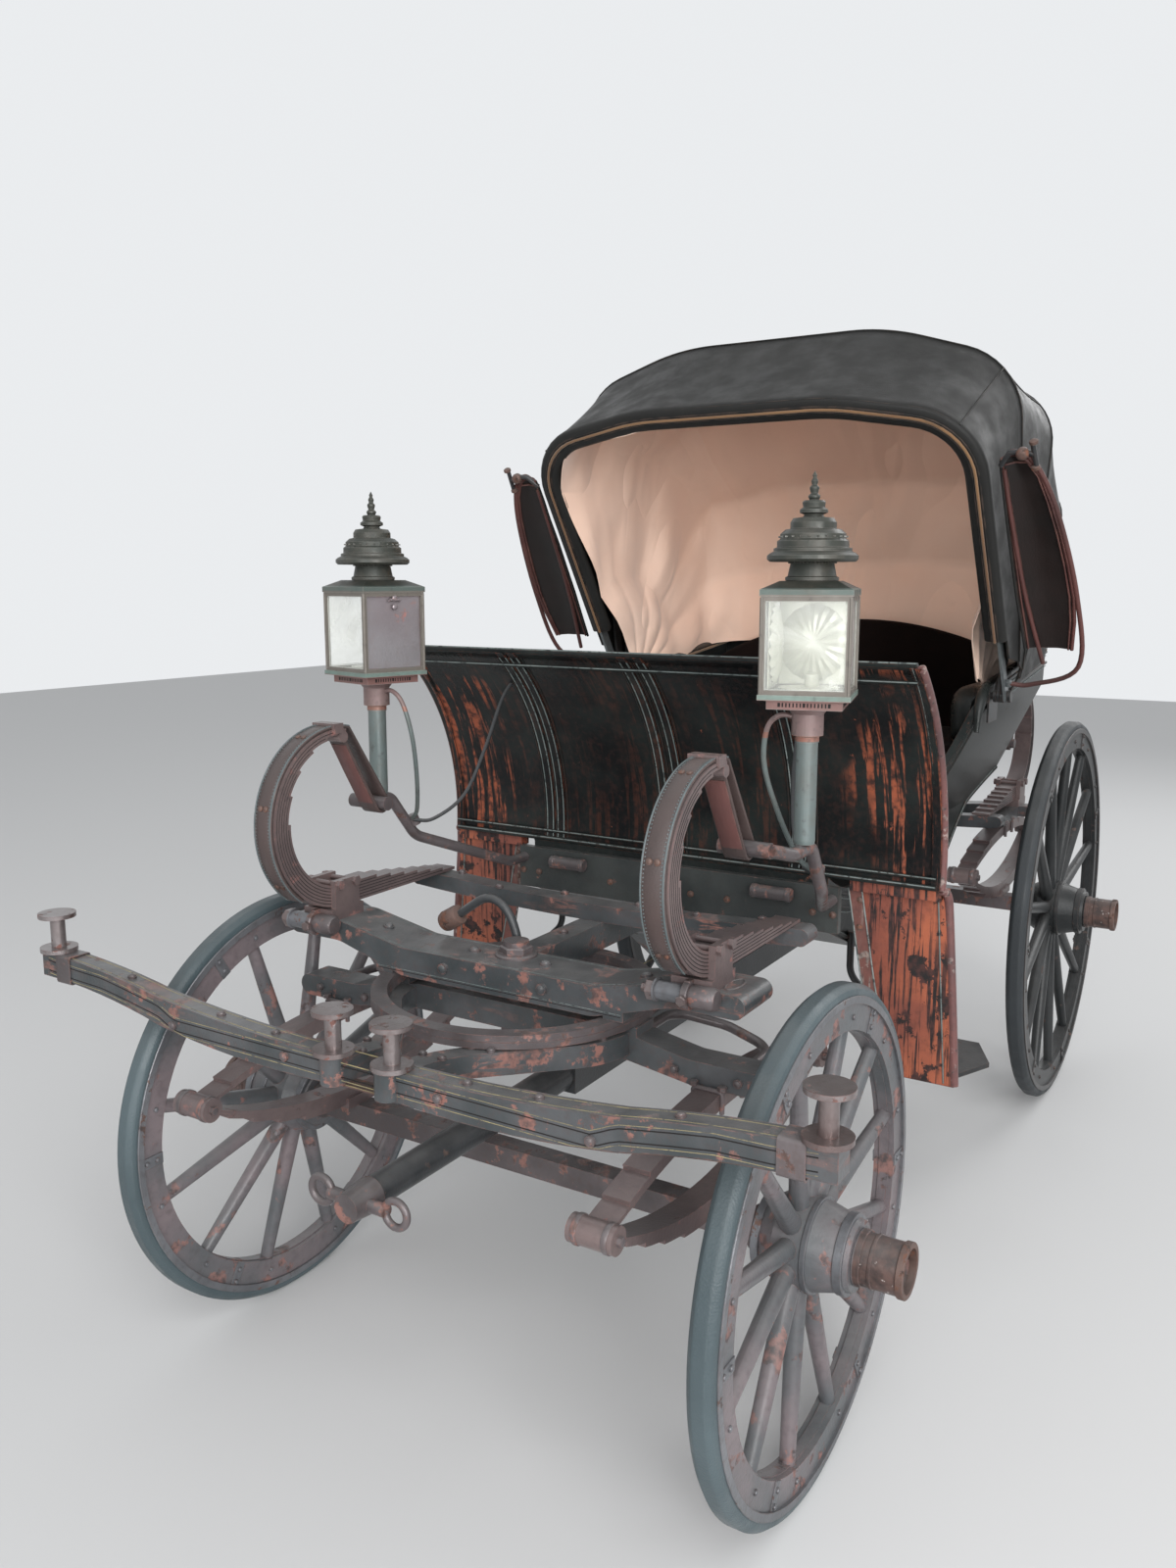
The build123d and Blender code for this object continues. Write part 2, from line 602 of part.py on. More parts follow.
def foot_block():
    """Seat under the spring, with the bolted clip plates that grip its leaves."""
    grip_in, grip_out = C_WIDTH / 2, C_WIDTH / 2 + C_GRIP_THICK
    seat = box_between(-C_FOOT_HALF, C_FOOT_HALF, -grip_out, grip_out, -C_RADIUS - FOOT_HEIGHT, -C_RADIUS)
    grips = both(box_between(-C_GRIP_HALF, C_GRIP_HALF, grip_in, grip_out,
                             -C_RADIUS, -C_RADIUS + C_GRIP_HEIGHT))
    nut = extrude(RegularPolygon(C_NUT_R, 6), 4, both=True)
    bolts = []
    for x in (-C_BOLT_X, C_BOLT_X):
        axis = Pos(x, 0, -C_RADIUS + C_BOLT_Z) * Rot(90, 0, 0)
        bolts.append(axis * Cylinder(C_BOLT_R, 2 * grip_out + 16))
        for sign in (1, -1):
            bolts.append(axis * Pos(0, 0, sign * (grip_out + 4)) * nut)
    return join([seat, *grips.solids(), *bolts])


SPRING_SEATS = (  # name, x and z of the centre, direction the tail runs in
    ("front", C_FRONT_X, C_FRONT_Z, -1),
    ("rear", C_REAR_OFFSET, C_REAR_Z, 1),
)


def brace():
    """Leather strap round the outside of the spring, over its top and down to the shackle."""
    inner = C_RADIUS + BRACE_FIT
    outer = inner + BRACE_THICK
    low, high = radians(BRACE_LOW_ANGLE), radians(BRACE_HIGH_ANGLE)
    middle = (low + high) / 2
    end = Vector(-SHACKLE_REACH, SHACKLE_DROP + SHACKLE_R + BRACE_FIT)

    def at(radius, angle):
        return Vector(radius * cos(angle), radius * sin(angle))

    start_in, start_out = at(inner, high), at(outer, high)
    down = (end - start_in).normalized()
    side = Vector(down.Y, -down.X) * BRACE_THICK
    return slab_xz(make_face([
        ThreePointArc(at(inner, low), at(inner, middle), start_in),
        Line(start_in, end), Line(end, end + side), Line(end + side, start_out),
        ThreePointArc(start_out, at(outer, middle), at(outer, low)),
        Line(at(outer, low), at(inner, low)),
    ]), -BRACE_WIDTH / 2, BRACE_WIDTH / 2)


for end, x, z, tail in SPRING_SEATS:
    facing = Pos(x, C_Y, z) if tail < 0 else Pos(x, C_Y, z) * Rot(0, 0, 180)
    write(both(facing * join([c_spring(), foot_block(), *top_clip()])), f"{end}_c_springs")
    write(both(facing * brace()), f"{end}_braces")


# Cross-bars under the springs' tails, and the hind bed that stands on the rear under-springs
def tail_bar(x, end_top, middle_low, half):
    """Cross-bar with its ends under the two tails and its middle on the perch."""
    low, depth = end_top - TAIL_BAR_THICK, TAIL_BAR_DEPTH / 2
    return slab_yz(bowed_beam(half, low, middle_low - low, TAIL_BAR_THICK, TAIL_BAR_NOSE), x - depth, x + depth)


front_bar_x = C_FRONT_X - C_TAIL + TAIL_BAR_FROM_END
rear_bar_x = C_REAR_OFFSET + C_TAIL - TAIL_BAR_FROM_END
front_bar = tail_bar(front_bar_x, C_FRONT_Z - C_RADIUS, PERCH_HIGH_Z + PERCH_H / 2, C_Y + 40)
rear_bar = tail_bar(rear_bar_x, C_REAR_Z - C_RADIUS, PERCH_BACK_Z + PERCH_H / 2, C_Y + 40)
write(front_bar, "front_tail_bar")

hind_bed = slab_yz(arched_beam(TRANSOM_HALF, transom_seat, REAR_FRAME_Z - HIND_THICK, HIND_THICK, 200,
                               REAR_FRAME_Z - HIND_THICK - HIND_DIP, HIND_THICK, TRANSOM_BEND),
                   REAR_BED_X - 30, REAR_BED_X + 30)
side_rails = [box_between(REAR_BED_X + 30, RAIL_FRONT, y - RAIL_HALF, y + RAIL_HALF,
                          REAR_BED_Z + LEAF_CREST, REAR_FRAME_Z) for y in (-SPRING_Y, SPRING_Y)]
write(join([hind_bed, *side_rails]), "hind_bed")
write(rear_bar, "rear_tail_bar")

# Pole stowed below the perch in two leather slings
pole_neck = POLE_FRONT - POLE_HEAD
pole_round = rod((pole_neck, 0, POLE_Z), (POLE_BUTT_X, 0, POLE_Z), POLE_TAPER_R, POLE_R)
pole_butt = box_between(POLE_REAR, POLE_BUTT_X, -POLE_BUTT / 2, POLE_BUTT / 2,
                        POLE_Z - POLE_BUTT / 2, POLE_Z + POLE_BUTT / 2 - 2)
pin_x = (POLE_FRONT + pole_neck) / 2
pole_head = join([
    rod((POLE_FRONT, 0, POLE_Z), (pole_neck, 0, POLE_Z), POLE_TAPER_R - 2, POLE_TAPER_R + 4),
    Pos(pin_x, 0, POLE_Z) * Rot(90, 0, 0) * Cylinder(POLE_PIN_R, 2 * POLE_PIN_HALF),
])
write(join([pole_round, pole_butt]), "stowed_pole")
pole_loops = [Pos(pin_x, sign * POLE_RING_Y, POLE_Z) * Rot(0, 90, 0) * Torus(POLE_RING_R, POLE_RING_WIRE)
              for sign in (1, -1)]
write(join([pole_head, *pole_loops]), "pole_head")


def sling_box(x, half, grow):
    """Block round the pole's butt and the perch above it, `grow` clear of both."""
    return box_between(x - half, x + half, -POLE_BUTT / 2 - grow, POLE_BUTT / 2 + grow,
                       POLE_Z - POLE_BUTT / 2 - grow, PERCH_LOW_Z + PERCH_H / 2 + grow)


slings = [sling_box(x, SLING_HALF, SLING_FIT + SLING_THICK) - sling_box(x, SLING_HALF + 1, SLING_FIT)
          for x in SLING_X]
write(Compound(children=[solid for sling in slings for solid in sling.solids()]), "pole_slings")


# Body: a side outline crossed with an end outline, hollowed, with a doorway dipped in each side
BODY_BACK_TOP = (BODY_BACK + TUCK_TOP[0] - BODY_BACK_LEAN, BODY_TOP_Z)


def side_outline(inset):
    """Outline of the cavity in X and Z: the body's own outline inset by the wall, and open above."""
    t = inset
    open_z = BODY_TOP_Z + CAVITY_RISE
    tuck, turn = (TUCK_TOP[0] + t, TUCK_TOP[1] + t * 0.6), (TUCK_TURN[0], TUCK_TURN[1] + t)
    run_end, toe = (FLOOR_BACK, FLOOR_Z + t), (BODY_FRONT - t, TOE_Z + t * 0.8)
    back_top = (BODY_BACK_TOP[0] + t, BODY_TOP_Z)
    return make_face([
        Line(toe, (BODY_FRONT - t, open_z)), Line((BODY_FRONT - t, open_z), (back_top[0], open_z)),
        Line((back_top[0], open_z), back_top), Line(back_top, tuck),
        ThreePointArc(tuck, (TUCK_CURVE[0], TUCK_CURVE[1] + t), turn),
        ThreePointArc(turn, (TUCK_RUN[0], TUCK_RUN[1] + t), run_end),
        Line(run_end, (FLOOR_FRONT, FLOOR_Z + t)), Line((FLOOR_FRONT, FLOOR_Z + t), toe),
    ])


def outer_outline():
    """The body's side: doorway dipped to the sill, elbow, high back and the tuck under the seat."""
    toe, nose, elbow = (BODY_FRONT, TOE_Z), (BODY_FRONT, DASH_LOW_Z), (ELBOW_X - 30, ELBOW_Z + 26)
    return make_face([
        Line(toe, nose), ThreePointArc(nose, SILL_DIP, SILL_TURN),
        ThreePointArc(SILL_TURN, ELBOW_CURVE, ELBOW_RISE), ThreePointArc(ELBOW_RISE, ELBOW_NECK, elbow),
        Line(elbow, BODY_BACK_TOP), Line(BODY_BACK_TOP, TUCK_TOP),
        ThreePointArc(TUCK_TOP, TUCK_CURVE, TUCK_TURN),
        ThreePointArc(TUCK_TURN, TUCK_RUN, (FLOOR_BACK, FLOOR_Z)),
        Line((FLOOR_BACK, FLOOR_Z), (FLOOR_FRONT, FLOOR_Z)), Line((FLOOR_FRONT, FLOOR_Z), toe),
    ])


def end_outline(inset):
    """The body seen from its end: upright below, swelling out to the full width above."""
    low, high = BODY_LOW_HALF - inset, BODY_TOP_HALF - inset
    bottom, top = FLOOR_Z - BODY_CLEAR, BODY_TOP_Z + CAVITY_RISE
    return make_face([
        Line((-low, bottom), (-low, SWELL_LOW_Z)),
        ThreePointArc((-low, SWELL_LOW_Z), (-low - SWELL_OUT, SWELL_Z), (-high, SWELL_HIGH_Z)),
        Line((-high, SWELL_HIGH_Z), (-high, top)), Line((-high, top), (high, top)),
        Line((high, top), (high, SWELL_HIGH_Z)),
        ThreePointArc((high, SWELL_HIGH_Z), (low + SWELL_OUT, SWELL_Z), (low, SWELL_LOW_Z)),
        Line((low, SWELL_LOW_Z), (low, bottom)), Line((low, bottom), (-low, bottom)),
    ])


def between_sides(outline):
    return slab_xz(outline, -DASH_HALF, DASH_HALF)


def between_ends(outline):
    return slab_yz(outline, -BODY_CLEAR, BODY_FRONT + BODY_CLEAR)


def inside(inset):
    return between_sides(side_outline(inset)) & between_ends(end_outline(inset))


body = between_sides(outer_outline()) & between_ends(end_outline(0))
cavity = inside(BODY_WALL)
write(body - cavity, "body_shell")

seat_board = box_between(-BODY_CLEAR, SEAT_FRONT, -DASH_HALF, DASH_HALF, SEAT_Z - SEAT_BOARD, SEAT_Z)
seat_front = box_between(SEAT_FRONT - 22, SEAT_FRONT, -DASH_HALF, DASH_HALF, FLOOR_Z, SEAT_Z - SEAT_BOARD)
write((seat_board + seat_front) & cavity, "seat_box")

soft_space = inside(BODY_WALL + SEAT_FIT)
cushion_top = SEAT_Z + CUSHION_THICK
cushion = box_between(CUSHION_BACK, SEAT_FRONT - 6, -DASH_HALF, DASH_HALF, SEAT_Z + SEAT_FIT, cushion_top)
write(cushion & soft_space, "seat_cushion")

back_low, side_z, side_y = SEAT_Z + SEAT_FIT, BACK_CUSHION_SIDE_Z, BACK_CUSHION_HALF
back_round = slab_yz(make_face([
    Line((-side_y, back_low), (side_y, back_low)), Line((side_y, back_low), (side_y, side_z)),
    ThreePointArc((side_y, side_z), (0, BACK_CUSHION_TOP_Z), (-side_y, side_z)),
    Line((-side_y, side_z), (-side_y, back_low)),
]), -BODY_CLEAR, BACK_CUSHION_X)
arms = both(box_between(BACK_CUSHION_X + SEAT_FIT, SEAT_FRONT, BODY_TOP_HALF - ARM_WIDTH, DASH_HALF,
                        cushion_top + SEAT_FIT, ELBOW_Z + 24) & soft_space)
hood_room = box_between(-BODY_CLEAR, SEAT_BACK_ROOM, -DASH_HALF, DASH_HALF, BODY_TOP_Z, BACK_CUSHION_TOP_Z + 10)
seat_back = (back_round & soft_space) - hood_room
write(Compound(children=[*seat_back.solids(), *arms.solids()]), "seat_back")

FRONT_BOARD_THICK, FRONT_BOARD_HALF, BARREL_Y, BARREL_HALF, BARREL_WIDE = 18, 406, 260, 14, 90
front_board = box_between(BODY_FRONT, BODY_FRONT + FRONT_BOARD_THICK, -FRONT_BOARD_HALF, FRONT_BOARD_HALF,
                          TOE_Z + 4, DASH_LOW_Z - 16)
knob_x = BODY_FRONT + FRONT_BOARD_THICK + BARREL_HALF
knobs = [Pos(knob_x, y, DASH_LOW_Z - 42) * Rot(90, 0, 0) * Cylinder(BARREL_HALF, BARREL_WIDE)
         for y in (-BARREL_Y, BARREL_Y)]
write(join([front_board, *knobs]), "front_board")

# Dash: a board curled forward, with ribs, and a wing below each end
foot_x, top_x = DASH_FOOT_X + DASH_THICK / 2, DASH_TOP_X


def dash_band(half_thick, y_from, y_to):
    """Strip of the dash's curve between two Y values, half_thick either side of the curve."""
    def curve(shift):
        return [(x + shift, z) for x, z in ((foot_x, DASH_LOW_Z), DASH_BELLY, (top_x, DASH_TOP_Z))]
    back, front = curve(-half_thick), curve(half_thick)
    return slab_xz(make_face([
        ThreePointArc(*back), Line(back[2], front[2]), ThreePointArc(*reversed(front)), Line(front[0], back[0]),
    ]), y_from, y_to)


dash = join([dash_band(DASH_THICK / 2, -DASH_HALF, DASH_HALF)]
            + [dash_band(DASH_THICK / 2 + DASH_RIB_PROUD, y - DASH_RIB_HALF, y + DASH_RIB_HALF)
               for y in DASH_RIBS])
dash = dash - box_between(foot_x - 40, foot_x - DASH_THICK / 2 - 0.01, -700, 700, DASH_LOW_Z - 1, DASH_LOW_Z)
write(dash, "dash_board")

wing_x = DASH_FOOT_X - 20
wing_face = make_face(Polyline((WING_INNER_TOP, DASH_LOW_Z), (WING_OUTER_TOP, DASH_LOW_Z),
                               (WING_OUTER_LOW, WING_LOW_Z), (WING_INNER_LOW, WING_LOW_Z), close=True))
wing = slab_yz(wing_face, wing_x, wing_x + WING_THICK)
wing = wing + box_between(wing_x, foot_x + 4, WING_INNER_TOP, WING_OUTER_TOP - 10, DASH_LOW_Z - 24, DASH_LOW_Z)
write(both(wing), "dash_wings")

# Body loops that the braces carry, front and rear, and the shackles at their ends
shackle_front = Vector(C_FRONT_X - SHACKLE_REACH, 0, C_FRONT_Z + SHACKLE_DROP)
shackle_rear = Vector(C_REAR_OFFSET + SHACKLE_REACH, 0, C_REAR_Z + SHACKLE_DROP)
under_stem = STEM_LOW_Z - LOOP_BAR_R - BRACE_FIT
front_loop = join([
    Pos(shackle_front.X, C_Y + 12, shackle_front.Z) * Rot(90, 0, 0) * Cylinder(SHACKLE_R, 96),
    bent_rod([(shackle_front.X, C_Y + 58, shackle_front.Z), (shackle_front.X - 56, LAMP_Y - 2, under_stem),
              (LAMP_X - 34, LAMP_Y, under_stem), (LAMP_X - 110, LAMP_Y - 6, LOOP_DROP_Z),
              (BODY_FRONT + 80, LOOP_FOOT_Y, LOOP_FOOT_Z), (BODY_FRONT + 18.3, LOOP_FOOT_Y, LOOP_FOOT_Z)],
             [LOOP_BEND_R / 2, LOOP_BEND_R / 2, LOOP_BEND_R, LOOP_BEND_R], LOOP_BAR_R),
])
write(both(front_loop), "front_body_loops")

rear_loop = join([
    Pos(shackle_rear.X, C_Y - 18, shackle_rear.Z) * Rot(90, 0, 0) * Cylinder(SHACKLE_R, 104),
    bent_rod([(x, REAR_LOOP_Y, z) for x, z in ((shackle_rear.X, shackle_rear.Z), (shackle_rear.X + 4, LOOP_DROP_Z),
                                               REAR_LOOP_TURN, REAR_LOOP_END)], [30, 40], LOOP_BAR_R),
])
rear_loop = rear_loop - body
write(both(max(rear_loop.solids(), key=lambda piece: piece.volume)), "rear_body_loops")

# Lamps
lamp_axis = Plane((LAMP_X, LAMP_Y, STEM_LOW_Z), z_dir=(0, 0, 1),
                  x_dir=(cos(radians(LAMP_TOE_OUT)), sin(radians(LAMP_TOE_OUT)), 0))
box_low, box_high = LAMP_LOW_Z - STEM_LOW_Z, LAMP_HIGH_Z - STEM_LOW_Z
box_middle = (box_low + box_high) / 2
window, window_high = LAMP_SIDE - 2 * LAMP_BAR, box_high - box_low - 2 * LAMP_BAR


def centred_box(side, low, high):
    return Pos(0, 0, (low + high) / 2) * Box(side, side, high - low)


foot_r, foot_rise = STEM_FOOT
socket = [(r, box_low - depth) for r, depth in LAMP_SOCKET]
stem_profile = Polyline((0, 0), (foot_r, 0), (STEM_R, foot_rise), (STEM_R, socket[0][1]), *socket,
                        (0, socket[-1][1]), close=True)
chimney = [(r, box_high + rise) for r, rise in LAMP_CHIMNEY]
roof_profile = Polyline((0, chimney[0][1]), *chimney, close=True)
lamp_stem = revolve(Plane.XZ * make_face(stem_profile), Axis.Z)
lamp_roof = revolve(Plane.XZ * make_face(roof_profile), Axis.Z)
lid_side, lid_high = LAMP_LID
slope_side, slope_high = LAMP_LID_SLOPE
lid_slope = loft([Pos(0, 0, box_high + lid_high) * Rectangle(lid_side, lid_side),
                  Pos(0, 0, box_high + lid_high + slope_high) * Rectangle(slope_side, slope_side)], ruled=True)
lamp_case = centred_box(LAMP_SIDE, box_low, box_high) - centred_box(window, box_low - 1, box_high + 1)
for width, depth in ((LAMP_SIDE + 2, window), (window, LAMP_SIDE + 2)):
    lamp_case = lamp_case - Pos(0, 0, box_middle) * Box(width, depth, window_high)
sill_side, sill_high = LAMP_SILL
gallery_side, gallery_high = LAMP_GALLERY
lamp = join([lamp_stem, lamp_case, centred_box(lid_side, box_high, box_high + lid_high), lid_slope, lamp_roof,
             centred_box(sill_side, box_low - sill_high, box_low),
             centred_box(gallery_side, box_low - sill_high - gallery_high, box_low - sill_high)])
pane_side = window - 2 * LAMP_PANE_FIT
pane_high = window_high - 2 * LAMP_PANE_FIT
pane = Pos(LAMP_SIDE / 2 - LAMP_PANE, 0, box_middle) * Box(LAMP_PANE, pane_side, pane_high)
panes = Compound(children=[solid for turn in range(4) for solid in (Rot(0, 0, 90 * turn) * pane).solids()])
for side in ("left", "right"):
    placed, glass = lamp_axis * lamp, lamp_axis * panes
    if side == "right":
        placed, glass = mirror(placed, Plane.XZ), mirror(glass, Plane.XZ)
    write(placed, f"lamp_{side}")
    write(glass, f"lamp_glass_{side}")

# Steps, each hung from the body's sill by two irons
STEP_X, STEP_Y, STEP_Z = 1130, 610, 470
TREAD_HALF, TREAD_IN, TREAD_OUT, TREAD_POINT, TREAD_THICK = 110, -60, 20, 70, 10
HANGER_R, HANGER_X, HANGER_BEND = 8, 80, 50
tread = extrude(Pos(STEP_X, STEP_Y, STEP_Z) * make_face(Polyline(
    (-TREAD_HALF, TREAD_IN), (TREAD_HALF, TREAD_IN), (TREAD_HALF, TREAD_OUT), (0, TREAD_POINT),
    (-TREAD_HALF, TREAD_OUT), close=True)), TREAD_THICK)
hanger_y = BODY_LOW_HALF + HANGER_R + BRACE_FIT
hangers = [bent_rod([(STEP_X + dx, hanger_y, FLOOR_Z + 60), (STEP_X + dx, hanger_y, FLOOR_Z - 40),
                     (STEP_X + dx, STEP_Y - 40, STEP_Z + TREAD_THICK / 2)], [HANGER_BEND], HANGER_R)
           for dx in (-HANGER_X, HANGER_X)]
write(both(join([tread, *hangers])), "steps")

# Hood: four bows about one pair of pivots, each on its own flat iron, and the leather over them
IRON_T, IRON_STEP, IRON_W, IRON_LEN = 7, 8.5, 28, 206
PIVOT_R = 9
PIVOT_FIT = 0.05
IRON_FIRST = BODY_TOP_HALF + 10
BOWS = (  # angle from forward, half width, corner height, run of shoulder, top height, depth under leather
    (56, HOOD_HALF, 765, 318, 828, 1.5),
    (78.6, HOOD_HALF + 12, 790, 310, 886, 6),
    (108, HOOD_HALF + 12, 775, 310, 872, 5.5),
    (134, HOOD_HALF + 2, 735, 300, 835, 12),
)
HOOD_CORNER_R, HOOD_KNEE_R = 170, 600
BACK_SWELL = (152, HOOD_HALF - 6, 662, 277, 752)
BACK_EDGE = (171, HOOD_HALF - 20, 560, 248, 640)
BOW_SPREAD_R, BOW_SPREAD_AT = 200, 420


def hood_plane(angle):
    a = radians(angle)
    return Plane((HOOD_X, 0, HOOD_Z), x_dir=(0, 1, 0), z_dir=(sin(a), 0, -cos(a)))


def offset_hood(half, corner, shoulder, top, offset):
    """The corner points of a hood section, moved outward by the same distance all round."""
    rise = atan2(top - corner, shoulder)
    return (half + offset, corner + offset * tan((radians(90) - rise) / 2),
            half - shoulder + offset * tan(rise / 2), top + offset)


def hood_line(half, corner, shoulder, top, offset, low):
    h, c, k, r = offset_hood(half, corner, shoulder, top, offset)
    return FilletPolyline((h, low), (h, c), (k, r), (-k, r), (-h, c), (-h, low),
                          radius=[HOOD_CORNER_R + offset, HOOD_KNEE_R + offset, HOOD_KNEE_R + offset,
                                  HOOD_CORNER_R + offset])


def bow(index):
    """One bow in its own plane: flat irons from the pivot, then a bent wooden hoop."""
    angle, half, corner, shoulder, top, depth = BOWS[index]
    h, c, k, r = offset_hood(half, corner, shoulder, top, -BOW_T / 2 - depth)
    iron_y = IRON_FIRST + IRON_T / 2 + (len(BOWS) - 1 - index) * IRON_STEP
    bend, knee_bend = HOOD_CORNER_R - BOW_T / 2 - depth, HOOD_KNEE_R - BOW_T / 2 - depth
    path = FilletPolyline((iron_y, IRON_LEN - 4), (h, BOW_SPREAD_AT), (h, c), (k, r),
                          (-k, r), (-h, c), (-h, BOW_SPREAD_AT), (-iron_y, IRON_LEN - 4),
                          radius=[BOW_SPREAD_R, bend, knee_bend, knee_bend, bend, BOW_SPREAD_R])
    hoop = sweep(Plane(path @ 0, x_dir=(0, 0, 1), z_dir=path % 0) * Rectangle(BOW_W, BOW_T), path)
    pieces = [hoop]
    for sign in (1, -1):
        iron = Pos(sign * iron_y, IRON_LEN / 2, 0) * Box(IRON_T, IRON_LEN, IRON_W)
        eye = Pos(sign * iron_y, 0, 0) * Rot(0, 90, 0) * Cylinder(IRON_W / 2 + 2, IRON_T)
        bore = Pos(sign * iron_y, 0, 0) * Rot(0, 90, 0) * Cylinder(PIVOT_R + PIVOT_FIT, IRON_T + 2)
        pieces = [join([*pieces, iron, eye]) - bore]
    return hood_plane(angle) * pieces[0]


for index in range(len(BOWS)):
    write(bow(index), f"hood_bow_{index + 1}")

PIVOT_PLATE, PIVOT_PLATE_BACK, PIVOT_PLATE_FRONT, PIVOT_PLATE_LOW, PIVOT_PLATE_HIGH = 5, 62, 26, 66, 20
pin_in, pin_out = BODY_TOP_HALF + PIVOT_PLATE, IRON_FIRST + len(BOWS) * IRON_STEP
pivot = join([
    box_between(HOOD_X - PIVOT_PLATE_BACK, HOOD_X + PIVOT_PLATE_FRONT, BODY_TOP_HALF, pin_in,
                HOOD_Z - PIVOT_PLATE_LOW, HOOD_Z + PIVOT_PLATE_HIGH),
    Pos(HOOD_X, (pin_in + pin_out) / 2, HOOD_Z) * Rot(90, 0, 0) * Cylinder(PIVOT_R, pin_out - pin_in + 1),
    Pos(HOOD_X, pin_out + 4, HOOD_Z) * Rot(90, 0, 0) * Cylinder(15, 8),
])
write(both(pivot), "hood_pivots")

COVER_LOWS = (120, 90, 70, 60, 60, 60)


def cover_face(row, low):
    angle, *section = row
    inner = hood_line(*section, COVER_FIT, low)
    outer = hood_line(*section, COVER_FIT + COVER, low)
    return hood_plane(angle) * make_face([*inner.edges(), *outer.edges(),
                                          Line(inner @ 0, outer @ 0), Line(inner @ 1, outer @ 1)])


first = (BOWS[0][0] - 1.2, *BOWS[0][1:5])
stations = [first, *(row[:5] for row in BOWS[1:]), BACK_SWELL, BACK_EDGE]
cover = loft([cover_face(row, low) for row, low in zip(stations, COVER_LOWS)], ruled=True)
write(cover, "hood_cover")

# Leather wings beside the hood's front bow, on rod frames
WING_PANEL = ((10, 118), (150, 100), (153, 300), (124, 520), (86, 640), (44, 676), (12, 640))
panel_base = BOWS[0][1] + 2 * COVER + 4
iron_end = IRON_FIRST + len(BOWS) * IRON_STEP - (IRON_STEP - IRON_T)
frame_points = [(panel_base + y, r) for y, r in WING_PANEL]
panel_plane = hood_plane(BOWS[0][0])
panel = extrude(panel_plane * make_face(Polyline(*frame_points, close=True)), 4, both=True)
BRACKET_R, BRACKET_FOOT, BRACKET_RUN, BRACKET_HEAD = 6, 42, 36, (148, 104)
bracket_path = [(iron_end, BRACKET_FOOT, 0), (iron_end + BRACKET_RUN, BRACKET_FOOT, 0),
                (panel_base + BRACKET_HEAD[0], BRACKET_HEAD[1], 0)]
bracket = panel_plane * bent_rod(bracket_path, [20], BRACKET_R)
write(both(panel + bracket), "hood_side_wings")
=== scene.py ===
import json
import math

import bpy
import bmesh
from mathutils import Matrix, Vector, noise
from mathutils.bvhtree import BVHTree

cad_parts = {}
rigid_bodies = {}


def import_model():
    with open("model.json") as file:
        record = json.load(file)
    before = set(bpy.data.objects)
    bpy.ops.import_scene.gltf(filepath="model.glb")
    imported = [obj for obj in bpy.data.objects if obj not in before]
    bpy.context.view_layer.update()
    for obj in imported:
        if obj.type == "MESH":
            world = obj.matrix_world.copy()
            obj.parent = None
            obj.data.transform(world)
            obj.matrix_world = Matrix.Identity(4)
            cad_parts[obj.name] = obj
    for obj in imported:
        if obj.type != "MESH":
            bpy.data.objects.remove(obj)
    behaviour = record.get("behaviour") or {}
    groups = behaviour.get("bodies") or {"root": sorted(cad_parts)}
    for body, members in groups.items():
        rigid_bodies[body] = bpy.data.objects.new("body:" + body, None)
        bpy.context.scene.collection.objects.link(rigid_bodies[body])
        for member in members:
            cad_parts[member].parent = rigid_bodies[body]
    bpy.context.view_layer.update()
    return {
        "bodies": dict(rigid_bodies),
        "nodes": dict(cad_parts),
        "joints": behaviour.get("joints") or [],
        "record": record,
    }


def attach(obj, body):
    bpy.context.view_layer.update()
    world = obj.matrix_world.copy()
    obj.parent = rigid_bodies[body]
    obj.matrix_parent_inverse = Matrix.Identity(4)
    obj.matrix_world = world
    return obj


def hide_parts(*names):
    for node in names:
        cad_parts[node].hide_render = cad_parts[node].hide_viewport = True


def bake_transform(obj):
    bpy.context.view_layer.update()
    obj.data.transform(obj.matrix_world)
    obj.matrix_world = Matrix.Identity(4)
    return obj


# An open horse carriage with a folding hood, dressed around its packed drawing. The drawing's own
# millimetres run forward from the rear axle; fromAxle turns them into this frame's metres.
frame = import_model()
nodes = frame["nodes"]
middle = 0.94125  # from the rear axle forward to the middle of the carriage
print("frame loaded:", len(nodes), "nodes")


def fromAxle(x, y, z):
    return Vector((x / 1000 - middle, y / 1000, z / 1000))


